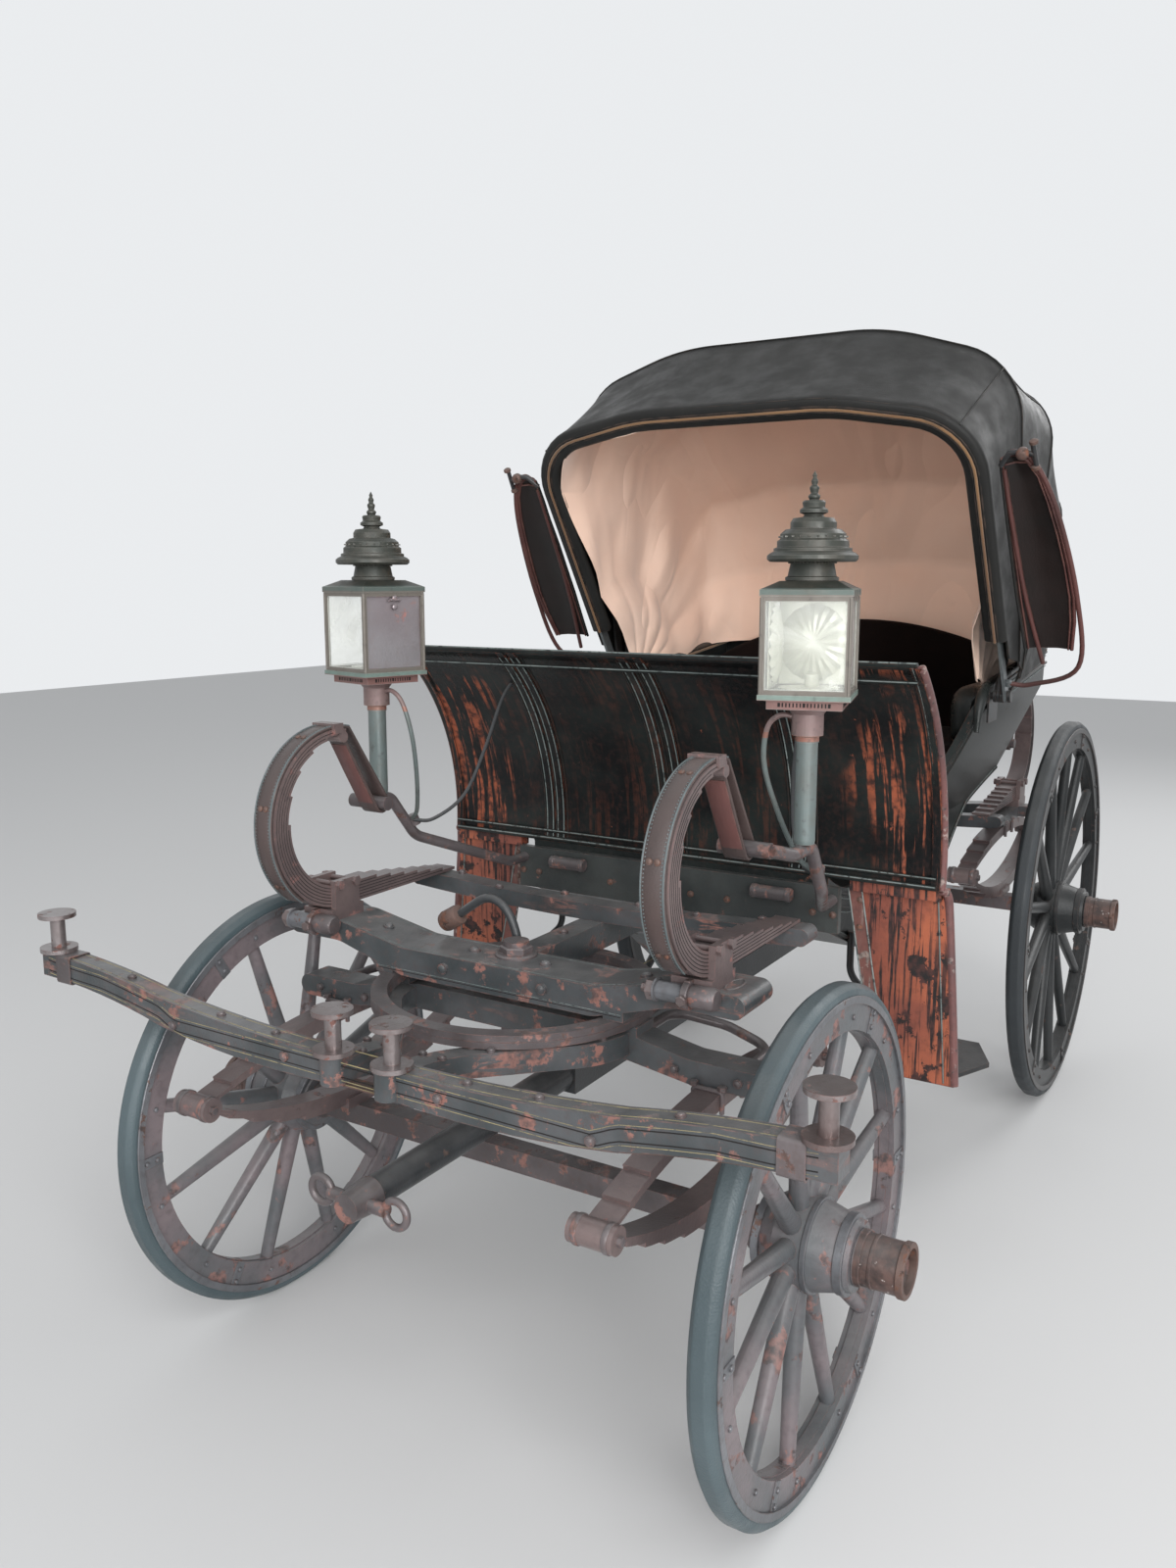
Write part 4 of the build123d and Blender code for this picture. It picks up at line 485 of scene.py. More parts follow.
# Shapes: one object gathered from several solids, each with its own finish
class Shape:
    def __init__(self, name):
        self.name, self.points, self.faces, self.marks, self.finishes = name, [], [], [], []

    def add(self, points, faces, finish):
        start = len(self.points)
        if finish not in self.finishes:
            self.finishes.append(finish)
        mark = self.finishes.index(finish)
        self.points += [tuple(p) for p in points]
        self.faces += [[i + start for i in face] for face in faces]
        self.marks += [mark] * len(faces)

    # capEnds closes the first and last rows with one face each, or "strip" for the ends of a thin sheet.
    def grid(self, rows, finish, wrapRows=False, wrapColumns=False, capEnds=False):
        high, wide = len(rows), len(rows[0])
        faces = []
        for i in range(high if wrapRows else high - 1):
            for j in range(wide if wrapColumns else wide - 1):
                a, b = i * wide + j, i * wide + (j + 1) % wide
                c, d = ((i + 1) % high) * wide + (j + 1) % wide, ((i + 1) % high) * wide + j
                faces.append((a, b, c, d))
        if capEnds == "strip":
            for j in range(wide // 2 - 1):
                loop = (j, wide - 1 - j, wide - 2 - j, j + 1)
                faces += [loop, tuple((high - 1) * wide + k for k in loop[::-1])]
        elif capEnds:
            faces.append(list(range(wide))[::-1])
            faces.append([(high - 1) * wide + j for j in range(wide)])
        self.add([p for row in rows for p in row], faces, finish)

    # Draws a closed section (pairs: across, up) along a path. side keeps its first axis one way.
    def sweep(self, path, section, finish, side=None, closed=False, scales=None):
        rows = []
        count = len(path)
        across = None
        for i, here in enumerate(path):
            before = path[i - 1 if i or closed else 0]
            after = path[(i + 1) % count if i < count - 1 or closed else i]
            ahead = (after - before).normalized()
            if side is not None:
                across = (side - ahead * side.dot(ahead)).normalized()
            elif across is None:
                seed = Vector((0, 0, 1)) if abs(ahead.z) < 0.9 else Vector((1, 0, 0))
                across = (seed - ahead * seed.dot(ahead)).normalized()
            else:
                across = (across - ahead * across.dot(ahead)).normalized()
            up = ahead.cross(across)
            size = scales[i] if scales else 1.0
            rows.append([here + across * a * size + up * b * size for a, b in section])
        self.grid(rows, finish, wrapRows=closed, wrapColumns=True, capEnds=not closed)

    def tube(self, path, radius, finish, sides=12, closed=False, scales=None):
        self.sweep(path, circle(radius, sides), finish, closed=closed, scales=scales)

    # A flat bar or leather strap with softened edges, its width measured along side.
    def strap(self, path, wide, thick, finish, side):
        w, t, e = wide / 2, thick / 2, min(thick, wide) * 0.22
        section = [(w, -t + e), (w, t - e), (w - e, t), (-w + e, t),
                   (-w, t - e), (-w, -t + e), (-w + e, -t), (w - e, -t)]
        self.sweep(path, section, finish, side=side)

    # Turns pairs (radius, height along the axis) round a point. The ends are closed.
    def lathe(self, profile, place, finish, axis=(0, 0, 1), sides=40):
        turn = Vector((0, 0, 1)).rotation_difference(Vector(axis)).to_matrix()
        rows = [[place + turn @ Vector((x, y, h)) for x, y in circle(r, sides)] for r, h in profile]
        self.grid(rows, finish, wrapColumns=True, capEnds=True)

    # A box with its edges cut back.
    def block(self, low, high, finish, soft=0.0015, turn=None, centre=None):
        shape = bmesh.new()
        bmesh.ops.create_cube(shape, size=1.0)
        size = Vector(high) - Vector(low)
        for v in shape.verts:
            v.co = Vector((v.co.x * size.x, v.co.y * size.y, v.co.z * size.z))
        bmesh.ops.bevel(shape, geom=shape.edges[:], offset=soft, segments=2, affect="EDGES", profile=0.6)
        place = (Vector(low) + Vector(high)) / 2 if centre is None else centre
        spin = turn or Matrix.Identity(3)
        shape.verts.ensure_lookup_table()
        self.add([place + spin @ v.co for v in shape.verts],
                 [[v.index for v in f.verts] for f in shape.faces], finish)
        shape.free()

    # Adds the same shapes on the other side of the carriage.
    def mirrored(self):
        start = len(self.points)
        self.points += [(x, -y, z) for x, y, z in self.points]
        self.faces += [[i + start for i in face][::-1] for face in self.faces]
        self.marks += self.marks

    def made(self, body, slot=None, sharp=35):
        mesh = bpy.data.meshes.new(self.name)
        mesh.from_pydata(self.points, [], self.faces)
        for finish in self.finishes:
            mesh.materials.append(finish)
        mesh.polygons.foreach_set("material_index", self.marks)
        shape = bmesh.new()
        shape.from_mesh(mesh)
        bmesh.ops.recalc_face_normals(shape, faces=shape.faces[:])
        shape.to_mesh(mesh)
        shape.free()
        mesh.shade_smooth()
        mesh.set_sharp_from_angle(angle=math.radians(sharp))
        piece = bpy.data.objects.new(self.name, mesh)
        bpy.context.scene.collection.objects.link(piece)
        if body:
            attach(piece, body)
        return piece


# A rounded line through the given points.
def smoothPath(points, steps=8, closed=False):
    points = [Vector(p) for p in points]
    count = len(points)
    found = []
    for i in range(count if closed else count - 1):
        a = points[i - 1] if i or closed else points[0] * 2 - points[1]
        b, c = points[i], points[(i + 1) % count]
        d = points[(i + 2) % count] if i < count - 2 or closed else c * 2 - b
        for k in range(steps):
            t = k / steps
            found.append(0.5 * ((2 * b) + (c - a) * t + (2 * a - 5 * b + 4 * c - d) * t * t
                                + (3 * b - a - 3 * c + d) * t ** 3))
    if not closed:
        found.append(points[-1])
    return found


# Straight runs joined by arcs, in any number of dimensions.
def roundedCorners(points, radii, steps=6):
    points = [Vector(p) for p in points]
    found = [points[0]]
    for before, here, after, radius in zip(points, points[1:], points[2:], radii):
        a, b = (before - here).normalized(), (after - here).normalized()
        half = a.angle(b) / 2
        reach = radius / math.tan(half)
        centre = here + (a + b).normalized() * (radius / math.sin(half))
        start, end = here + a * reach - centre, here + b * reach - centre
        sweep = start.angle(end)
        for k in range(steps + 1):
            t = k / steps
            found.append(centre + (start * math.sin((1 - t) * sweep)
                                   + end * math.sin(t * sweep)) / math.sin(sweep))
    found.append(points[-1])
    return found


# Heads of screws, nuts and rivets, set on points by a node tree
def headTree():
    tree = bpy.data.node_groups.new("headsOnPoints", "GeometryNodeTree")
    face = tree.interface
    face.new_socket("Geometry", in_out="INPUT", socket_type="NodeSocketGeometry")
    for name, kind, start in (("Radius", "NodeSocketFloat", 0.006), ("Height", "NodeSocketFloat", 0.004),
                              ("Corners", "NodeSocketInt", 6), ("Dome", "NodeSocketFloat", 0.5)):
        face.new_socket(name, in_out="INPUT", socket_type=kind).default_value = start
    face.new_socket("Finish", in_out="INPUT", socket_type="NodeSocketMaterial")
    face.new_socket("Geometry", in_out="OUTPUT", socket_type="NodeSocketGeometry")
    add, link = tree.nodes.new, tree.links.new
    given, out = add("NodeGroupInput"), add("NodeGroupOutput")
    post = add("GeometryNodeMeshCylinder")
    link(given.outputs["Corners"], post.inputs["Vertices"])
    link(given.outputs["Radius"], post.inputs["Radius"])
    link(given.outputs["Height"], post.inputs["Depth"])
    cap = add("GeometryNodeMeshUVSphere")
    cap.inputs["Segments"].default_value, cap.inputs["Rings"].default_value = 12, 6
    inner = add("ShaderNodeMath")
    inner.operation, inner.inputs[1].default_value = "MULTIPLY", 0.8
    link(given.outputs["Radius"], inner.inputs[0])
    link(inner.outputs[0], cap.inputs["Radius"])
    squat, lift, half = add("ShaderNodeCombineXYZ"), add("ShaderNodeCombineXYZ"), add("ShaderNodeMath")
    squat.inputs["X"].default_value = squat.inputs["Y"].default_value = 1.0
    link(given.outputs["Dome"], squat.inputs["Z"])
    half.operation, half.inputs[1].default_value = "MULTIPLY", 0.5
    link(given.outputs["Height"], half.inputs[0])
    link(half.outputs[0], lift.inputs["Z"])
    dome, shaft = add("GeometryNodeTransform"), add("GeometryNodeTransform")
    link(cap.outputs["Mesh"], dome.inputs["Geometry"])
    link(squat.outputs[0], dome.inputs["Scale"])
    link(lift.outputs[0], dome.inputs["Translation"])
    head = add("GeometryNodeJoinGeometry")
    link(post.outputs["Mesh"], shaft.inputs["Geometry"])
    link(dome.outputs[0], head.inputs[0])
    link(shaft.outputs[0], head.inputs[0])
    facing, turn = add("GeometryNodeInputNamedAttribute"), add("FunctionNodeAlignRotationToVector")
    facing.data_type, facing.inputs["Name"].default_value = "FLOAT_VECTOR", "facing"
    turn.axis = "Z"
    link(facing.outputs["Attribute"], turn.inputs["Vector"])
    spread, real = add("GeometryNodeInstanceOnPoints"), add("GeometryNodeRealizeInstances")
    coated = add("GeometryNodeSetMaterial")
    link(given.outputs["Geometry"], spread.inputs["Points"])
    link(head.outputs[0], spread.inputs["Instance"])
    link(turn.outputs[0], spread.inputs["Rotation"])
    link(spread.outputs[0], real.inputs[0])
    link(real.outputs[0], coated.inputs["Geometry"])
    link(given.outputs["Finish"], coated.inputs["Material"])
    link(coated.outputs[0], out.inputs[0])
    return tree


headNodes = headTree()


# Screw heads, nuts or rivets. places is pairs: point, direction that the head faces.
def heads(name, places, radius, height, finish, body, corners=6, dome=0.5, both=True):
    places = [(Vector(p), Vector(n).normalized()) for p, n in places]
    if both:
        places += [(Vector((p.x, -p.y, p.z)), Vector((n.x, -n.y, n.z))) for p, n in places]
    mesh = bpy.data.meshes.new(name)
    mesh.from_pydata([p + n * height * 0.5 for p, n in places], [], [])
    facing = mesh.attributes.new("facing", "FLOAT_VECTOR", "POINT")
    facing.data.foreach_set("vector", [c for _, n in places for c in n])
    piece = bpy.data.objects.new(name, mesh)
    bpy.context.scene.collection.objects.link(piece)
    work = piece.modifiers.new("heads", "NODES")
    work.node_group = headNodes
    given = {"Radius": radius, "Height": height, "Corners": corners, "Dome": dome, "Finish": finish}
    for item in headNodes.interface.items_tree:
        if item.in_out == "INPUT" and item.name in given:
            work[item.identifier] = given[item.name]
    return settled(piece, body)


# Turns what a node tree made into a plain mesh and lets it ride on its body.
def settled(piece, body):
    seen = piece.evaluated_get(bpy.context.evaluated_depsgraph_get())
    mesh = bpy.data.meshes.new_from_object(seen)
    piece.modifiers.clear()
    piece.data = mesh
    mesh.shade_smooth()
    mesh.set_sharp_from_angle(angle=math.radians(35))
    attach(piece, body)
    return piece


# Hood: leather over four bows, a cloth lining inside, and a bound edge round the front
hood = {"pivot": (625, 1240), "cornerRound": 170, "kneeRound": 600, "bay": 9, "bandLow": 182,
        "leather": 8.0, "thick": 4.5, "sag": 7.0, "seamOut": 1.0, "seamColumn": 19,
        "liningIn": 36.0, "liningThick": 1.5, "liningSag": 16.0, "liningLow": 42, "liningBay": 12,
        "tuckHalf": 492, "tuckWide": 600, "tuckFrom": 170, "tuckRun": 280}
hoodStations = (  # angle, half width, corner, knee, top, low end of the leather, share of the fold
    (54.8, 568, 765, 250, 828, 120, 1.0),
    (78.6, 580, 790, 270, 886, 90, 0.8505),
    (108, 580, 775, 270, 872, 70, 0.6264),
    (134, 570, 735, 270, 835, 60, 0.4396),
    (152, 562, 662, 285, 752, 60, 0.20),
    (171, 548, 560, 300, 640, 60, 0.0),
)


def hoodPlace(angle, y, r, ahead=0.0):
    a = math.radians(angle)
    return fromAxle(hood["pivot"][0] + r * math.cos(a) + ahead * math.sin(a), y,
                    hood["pivot"][1] + r * math.sin(a) - ahead * math.cos(a))


# The hood's outline in one bow's plane, as pairs (y, r), moved outward by offset.
def hoodSection(station, offset, low=None):
    _, half, corner, knee, top, lowEnd, _ = station
    rise = math.atan2(top - corner, half - knee)
    h, c = half + offset, corner + offset * math.tan((math.pi / 2 - rise) / 2)
    k, t = knee + offset * math.tan(rise / 2), top + offset
    low = lowEnd if low is None else low
    corners = [(h, low), (h, c), (k, t), (-k, t), (-h, c), (-h, low)]
    bend, kneeBend = hood["cornerRound"] + offset, hood["kneeRound"] + offset
    line = roundedCorners(corners, [bend, kneeBend, kneeBend, bend], 9)
    runs = []
    cuts = [0, 1, 10, 11, 20, 21, 30, 31, 40, 41]
    parts = [14, 0, 4, 0, 8, 0, 4, 0, 14]
    for part, (a, b) in zip(parts, zip(cuts, cuts[1:])):
        if part:
            runs += [line[a].lerp(line[b], k / part) for k in range(part)]
        else:
            runs += line[a:b]
    return [(p[0], p[1]) for p in runs + [line[-1]]]


# Draws a section's low ends in, so that they hang inside the body.
def tucked(line, closer):
    found = []
    for y, r in line:
        share = max(0.0, min(1.0, (r - hood["tuckFrom"]) / hood["tuckRun"]))
        more = (hood["tuckWide"] - hood["tuckHalf"]) * share * share * (3 - 2 * share)
        limit = hood["tuckHalf"] - closer + more
        found.append((math.copysign(min(abs(y), limit), y), r))
    return found


# Rows of points from the front to the back, pulled in between the bows, with the fold share of each row.
def hoodRows(offset, sag, bay, folds, low=None):
    rows, shares = [], []
    for first, second in zip(hoodStations, hoodStations[1:]):
        a, b = hoodSection(first, offset, low), hoodSection(second, offset, low)
        if low is not None:
            a, b = tucked(a, -hood["liningIn"] - offset), tucked(b, -hood["liningIn"] - offset)
        steps = bay + (1 if second is hoodStations[-1] else 0)
        for k in range(steps):
            t = k / bay
            angle = first[0] + (second[0] - first[0]) * t
            row = []
            for i, ((ya, ra), (yb, rb)) in enumerate(zip(a, b)):
                p = hoodPlace(first[0], ya, ra).lerp(hoodPlace(second[0], yb, rb), t)
                s = i / (len(a) - 1)
                within = (hoodPlace(angle, 0, 260) - p).normalized()
                drop = sag * 4 * t * (1 - t) * (0.45 + 0.55 * math.sin(math.pi * s))
                calm = max(0.0, min(1.0, (min(ra, rb) - 120) / 260))
                drop += max(folds(angle, s, t) * calm, -3 - 30 * t * (1 - t))
                row.append(p + within * drop / 1000)
            rows.append(row)
            shares.append(first[6] + (second[6] - first[6]) * t)
    return rows, shares


def perRow(shares, width):
    return [share for share in shares for _ in range(width)]


# Bakes a hood piece's placement into its mesh.
def foldWith(piece, weights):
    hoodPlace(171, 0, 640)
    hoodPlace(54.8, 0, 828)
    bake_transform(piece)


def leatherRipple(angle, s, t):
    side = math.sin(math.pi * s)
    fine = noise.noise(Vector((angle * 0.09, s * 6, 1.7))) * 1.4
    pull = noise.noise(Vector((angle * 0.035, s * 26, 5.1))) * 2.6 * (1 - side) * 4 * t * (1 - t)
    return fine + pull


# The lining's loose folds: deep ones down its right side, shallow ones elsewhere.
def clothFolds(angle, s, t):
    right = max(0.0, min(1.0, (s - 0.52) / 0.25))
    across = s * 30 + 2.4 * noise.noise(Vector((angle * 0.03, s * 4, 0.3)))
    ridge = 1 - abs(2 * ((across * 0.32) % 1) - 1)
    wave = math.sin(angle * 0.16 + 5.0 * noise.noise(Vector((s * 5, angle * 0.02, 8.2))))
    soft = noise.noise(Vector((angle * 0.055, s * 7, 3.3)))
    crease = abs(noise.noise(Vector((angle * 0.09 + s * 6, s * 8 - angle * 0.03, 7.7))))
    deep = 17 * ridge * ridge * (3 - 2 * ridge) * right * (0.5 + 0.5 * wave) + 7 * soft + 10 * right * soft
    return deep + 4 * (0.3 - min(0.3, crease)) / 0.3 * (0.4 + 0.6 * right)


# A sheet's longest width and length, and its area, all measured along it.
def cutOf(rows):
    wide = max(sum((a - b).length for a, b in zip(row, row[1:])) for row in rows)
    long = max(sum((rows[i][j] - rows[i + 1][j]).length for i in range(len(rows) - 1))
               for j in range(len(rows[0])))
    area = 0.0
    for i in range(len(rows) - 1):
        for j in range(len(rows[0]) - 1):
            a, b, c, d = rows[i][j], rows[i][j + 1], rows[i + 1][j + 1], rows[i + 1][j]
            area += ((b - a).cross(c - a).length + (c - a).cross(d - a).length) / 2
    print("cut %.3f x %.3f m, %.3f m2" % (wide, long, area))
    return wide, long, area


# A closed thin sheet from its outer and inner rows.
def hoodSheet(name, rows, inner, finish, slot, sharp):
    loops = [row + back[::-1] for row, back in zip(rows, inner)]
    shape = Shape(name)
    shape.grid(loops, finish, wrapColumns=True, capEnds="strip")
    return shape.made(None, slot, sharp=sharp), len(loops[0])


def hoodLeatherPiece():
    rows, shares = hoodRows(hood["leather"], hood["sag"], hood["bay"], leatherRipple)
    inner, _ = hoodRows(hood["leather"] - hood["thick"], hood["sag"], hood["bay"], leatherRipple)
    piece, width = hoodSheet("hoodLeather", rows, inner, hoodLeather, "black_leather", 60)
    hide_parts("hood_cover")
    foldWith(piece, perRow(shares, width))
    return piece, *cutOf(rows)


def hoodLiningPiece():
    given = hood["liningSag"], hood["liningBay"], clothFolds, hood["liningLow"]
    rows, shares = hoodRows(-hood["liningIn"], *given)
    inner, _ = hoodRows(-hood["liningIn"] - hood["liningThick"], *given)
    piece, width = hoodSheet("hoodLining", rows, inner, liningCloth, "seat_cloth", 75)
    foldWith(piece, perRow(shares, width))
    return piece, *cutOf(rows)


binding = {
    "angle": 56,
    # outward from the bow, ahead of it
    "profile": ((9, 0), (10, 10), (8, 17), (3, 21), (-10, 22), (-19, 22), (-36, 20), (-42, 16), (-44, 8),
                (-42, -4), (-26, -6)),
    # outward, ahead, radius, finish, sides
    "cords": ((-17, 23.5, 0.0036, goldCord, 8), (-10, 22.3, 0.0016, hoodLeather, 6),
              (-24, 22.3, 0.0016, hoodLeather, 6)),
}


# Leather binding on the front bow, with a gold-brown cord let into it between two seams.
def hoodFrontEdge():
    angle = binding["angle"]
    front = (angle, *hoodStations[0][1:5], hood["bandLow"], 1.0)
    lines = [hoodSection(front, u) for u, _ in binding["profile"]]
    rows = [[hoodPlace(angle, *line[i], ahead=v) for line, (_, v) in zip(lines, binding["profile"])]
            for i in range(len(lines[0]))]
    band = Shape("hoodFrontBinding")
    band.grid(rows, hoodLeather, wrapColumns=True, capEnds=True)
    for out, proud, radius, finish, sides in binding["cords"]:
        line = [hoodPlace(angle, y, r, ahead=proud) for y, r in hoodSection(front, out)]
        band.tube(line, radius, finish, sides=sides)
    band.made("hood_front_bow", "black_leather", sharp=50)


# Lapped seams over the three hind bows and down each quarter.
def hoodSeams():
    shape = Shape("hoodSeams")
    rows, shares = hoodRows(hood["leather"] + hood["seamOut"], hood["sag"], hood["bay"], leatherRipple)
    weights = []
    for column in (hood["seamColumn"], len(rows[0]) - 1 - hood["seamColumn"]):
        shape.tube([row[column] for row in rows], 0.0022, hoodLeather, sides=6)
        weights += perRow(shares, 6)
    for station in (1, 2, 3):
        index = station * hood["bay"]
        shape.tube(rows[index], 0.002, hoodLeather, sides=6)
        weights += [shares[index]] * (6 * len(rows[index]))
    piece = shape.made(None, "black_leather", sharp=70)
    foldWith(piece, weights)


# Places on a wing are pairs (outward from its base, away from the hood's pivot), in millimetres.
sideWing = {
    "angle": 56, "base": 586, "rod": 0.0058, "thick": 3.2, "belly": 7,
    "outer": ((-20, 42), (36, 42), (146, 100), (153, 300), (124, 520), (86, 640), (44, 672), (14, 640)),
    "inner": ((66, 108), (40, 300), (26, 500), (20, 630)),
    "flap": ((28, 150, 134, 150), (24, 230, 144, 230), (20, 300, 146, 300), (18, 380, 139, 385),
             (16, 460, 128, 465), (15, 540, 113, 545), (14, 600, 95, 610), (14, 640, 74, 645),
             (16, 655, 52, 664)),
    "elbow": ((14, 640), (36, 672, 5), (64, 676, 8), (86, 668, 8)), "pin": ((86, 692, 8), (90, 640, 8)),
}


def wingPlace(out, r, ahead=0.0):
    return hoodPlace(sideWing["angle"], sideWing["base"] + out, r, ahead)


def wingWay(out, r, ahead):
    return wingPlace(out, r, ahead) - wingPlace(0, 0)


def wingFlap(shape):
    rows = []
    for k, (ya, ra, yb, rb) in enumerate(sideWing["flap"]):
        line = []
        for m in range(13):
            t = m / 12
            belly = -sideWing["belly"] * math.sin(math.pi * t) + 3 * noise.noise(Vector((k * 0.7, t * 3, 2)))
            line.append(wingPlace(ya + (yb - ya) * t, ra + (rb - ra) * t, belly))
        rows.append(line)
    back = wingWay(0, 0, -sideWing["thick"])
    shape.grid([row + [p + back for p in row[::-1]] for row in rows], flapLeather, wrapColumns=True,
               capEnds="strip")
    proud = wingWay(0, 0, 2.0)
    frame = [row[1].lerp(row[0], 0.1) + proud for row in rows[:-1]] + [p + proud for p in rows[-2][2:-2]]
    frame += [row[-2].lerp(row[-1], 0.1) + proud for row in rows[:-1][::-1]]
    shape.tube(frame, 0.0022, wornLeatherEdge, sides=6)
    return rows


# The elbow at a wing's top: a bent rod, a boss on it and a short pin with two collars.
def wingElbow(shape):
    shape.tube([wingPlace(*p) for p in sideWing["elbow"]], 0.0062, blackIron, sides=12)
    shape.lathe([(0.006, 0), (0.012, 0.003), (0.014, 0.011), (0.012, 0.019), (0.006, 0.022)],
                wingPlace(64, 672), rustIron, axis=wingWay(0, 0, 1), sides=20)
    shape.tube([wingPlace(*p) for p in sideWing["pin"]], 0.0055, blackIron, sides=12)
    for end in (690, 630):
        shape.lathe([(0.005, 0), (0.0095, 0.003), (0.0095, 0.009), (0.005, 0.012)], wingPlace(88, end, 8),
                    rustIron, axis=wingWay(0, 1, 0), sides=16)


def hoodWings():
    shape = Shape("hoodWings")
    outer = smoothPath([wingPlace(*p) for p in sideWing["outer"]], 8)
    inner = smoothPath([wingPlace(*p) for p in sideWing["inner"]], 8)
    shape.tube(outer, sideWing["rod"], wornLeatherEdge, sides=10)
    shape.tube(inner, sideWing["rod"] * 0.9, wornLeatherEdge, sides=10)
    rows = wingFlap(shape)
    wingElbow(shape)
    shape.tube([row[-1] for row in rows] + rows[-1][::-1], 0.0042, wornLeatherEdge, sides=8)
    shape.lathe([(0.004, 0), (0.010, 0.002), (0.010, 0.010), (0.004, 0.012)], wingPlace(-20, 42, -6),
                strutSteel, axis=wingWay(0, 0, 1), sides=20)
    shape.tube([row[0] for row in rows], 0.0035, hoodLeather, sides=8)
    shape.mirrored()
    piece = shape.made("hood_front_bow", "black_leather", sharp=55)
    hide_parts("hood_side_wings")


leatherSheet = hoodLeatherPiece()
liningSheet = hoodLiningPiece()
hoodFrontEdge()
hoodSeams()
hoodWings()
print("hood ready")


# Seat: a crowned cushion, a round-topped back and padded arms, inside the body's swelling sides
seat = {
    "cushion": (122, 592, 1001, 1108), "cushionSteps": (40, 64), "crown": 12, "soft": 34, "dip": 13,
    "dipWide": 21, "buttonGap": 118, "buttonRows": (0.3, 0.7), "wall": 23,
    "backX": (34, 117), "backLow": 1003, "backSide": 1268, "backTop": 1403, "backHalf": 496,
    "backSteps": (30, 56), "backSwell": 26,
    "armX": (121, 598), "armOuter": 28, "armInner": 402, "armLow": 1112, "armHigh": 1259,
    "armMiddle": (458, 1190),
}
bodyWidth = {"low": 900, "high": 1230, "foot": 375, "full": 518, "belly": 2.8}


# Half width of the body at a height, from its upright foot out to its full width.
def bodySide(z, inset=0.0):
    if z <= bodyWidth["low"]:
        return bodyWidth["foot"] - inset
    if z >= bodyWidth["high"]:
        return bodyWidth["full"] - inset
    t = (z - bodyWidth["low"]) / (bodyWidth["high"] - bodyWidth["low"])
    wider = (bodyWidth["full"] - bodyWidth["foot"]) * t
    return bodyWidth["foot"] + wider + bodyWidth["belly"] * t * (1 - t) - inset


# From 0 to 1 in a number of steps, short ones at both ends.
def eased(step, steps):
    return 0.5 - 0.5 * math.cos(math.pi * step / steps)


# Where a button sits on the cushion, the second row set half a gap to the side.
def buttonPlace(row, k):
    x0, x1 = seat["cushion"][:2]
    gap = seat["buttonGap"]
    return x0 + (x1 - x0) * row, k * gap + (gap / 2 if row > 0.5 else 0)


def cushionPoint(u, v, top):
    x0, x1, z0, z1 = seat["cushion"]
    x = x0 + (x1 - x0) * u
    edge = min(u, 1 - u) * (x1 - x0)
    side = min(v, 1 - v) * 2 * bodySide(z0 + 50, seat["wall"])
    soft = seat["soft"]
    fall = 0.0
    for gap in (edge, side):
        if gap < soft:
            fall += soft - math.sqrt(max(0.0, soft * soft - (soft - gap) ** 2))
    half = bodySide(z1 - 12 if top else z0 + 14, seat["wall"])
    y = -half + 2 * half * v
    if not top:
        return fromAxle(x, y, z0 + min(fall, 40))
    crown = seat["crown"] * (1 - (2 * u - 1) ** 4) * (1 - (2 * v - 1) ** 4)
    dip = 0.0
    for row in seat["buttonRows"]:
        for k in range(-3, 4):
            bx, by = buttonPlace(row, k)
            dip += seat["dip"] * math.exp(-(math.hypot(x - bx, y - by) / seat["dipWide"]) ** 2)
    ruffle = 2.5 * noise.noise(Vector((x * 0.012, y * 0.012, 4)))
    return fromAxle(x, y, z1 - seat["crown"] + crown - min(fall, 52) - dip + ruffle)


def seatCushion():
    x1, z0, z1 = seat["cushion"][1:]
    shape = Shape("seatCushion")
    long, wide = seat["cushionSteps"]
    rows = []
    for i in range(long + 1):
        u = eased(i, long)
        top = [cushionPoint(u, eased(j, wide), True) for j in range(wide + 1)]
        low = [cushionPoint(u, eased(j, wide), False) for j in range(wide + 1)]
        rows.append(top + low[::-1])
    shape.grid(rows, plushCloth, wrapColumns=True, capEnds=True)
    for x, z, half, step in ((x1 - 2.5, z1 - 26, 380, 20), (x1 - 3.5, z0 + 22, 366, 18)):
        welt = [fromAxle(x, y, z) for y in range(-half, half + 1, step)]
        shape.tube(welt, 0.0035, plushWelt, sides=8)
    piece = shape.made("carriage", "seat_cloth", sharp=60)
    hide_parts("seat_cushion")
    buttons = [buttonPlace(row, k) for row in seat["buttonRows"] for k in range(-3, 3 if row > 0.5 else 4)]
    places = [(fromAxle(x, y, z1 - 12), (0, 0, 1)) for x, y in buttons]
    heads("seatButtons", places, 0.008, 0.003, plushWelt, "carriage", corners=16, dome=0.45, both=False)


# Height of the back's round top at a place across.
def backTopAt(y):
    rise = seat["backTop"] - seat["backSide"]
    r = (498 ** 2 + rise ** 2) / (2 * rise)
    return seat["backTop"] - r + math.sqrt(max(0, r * r - y * y))


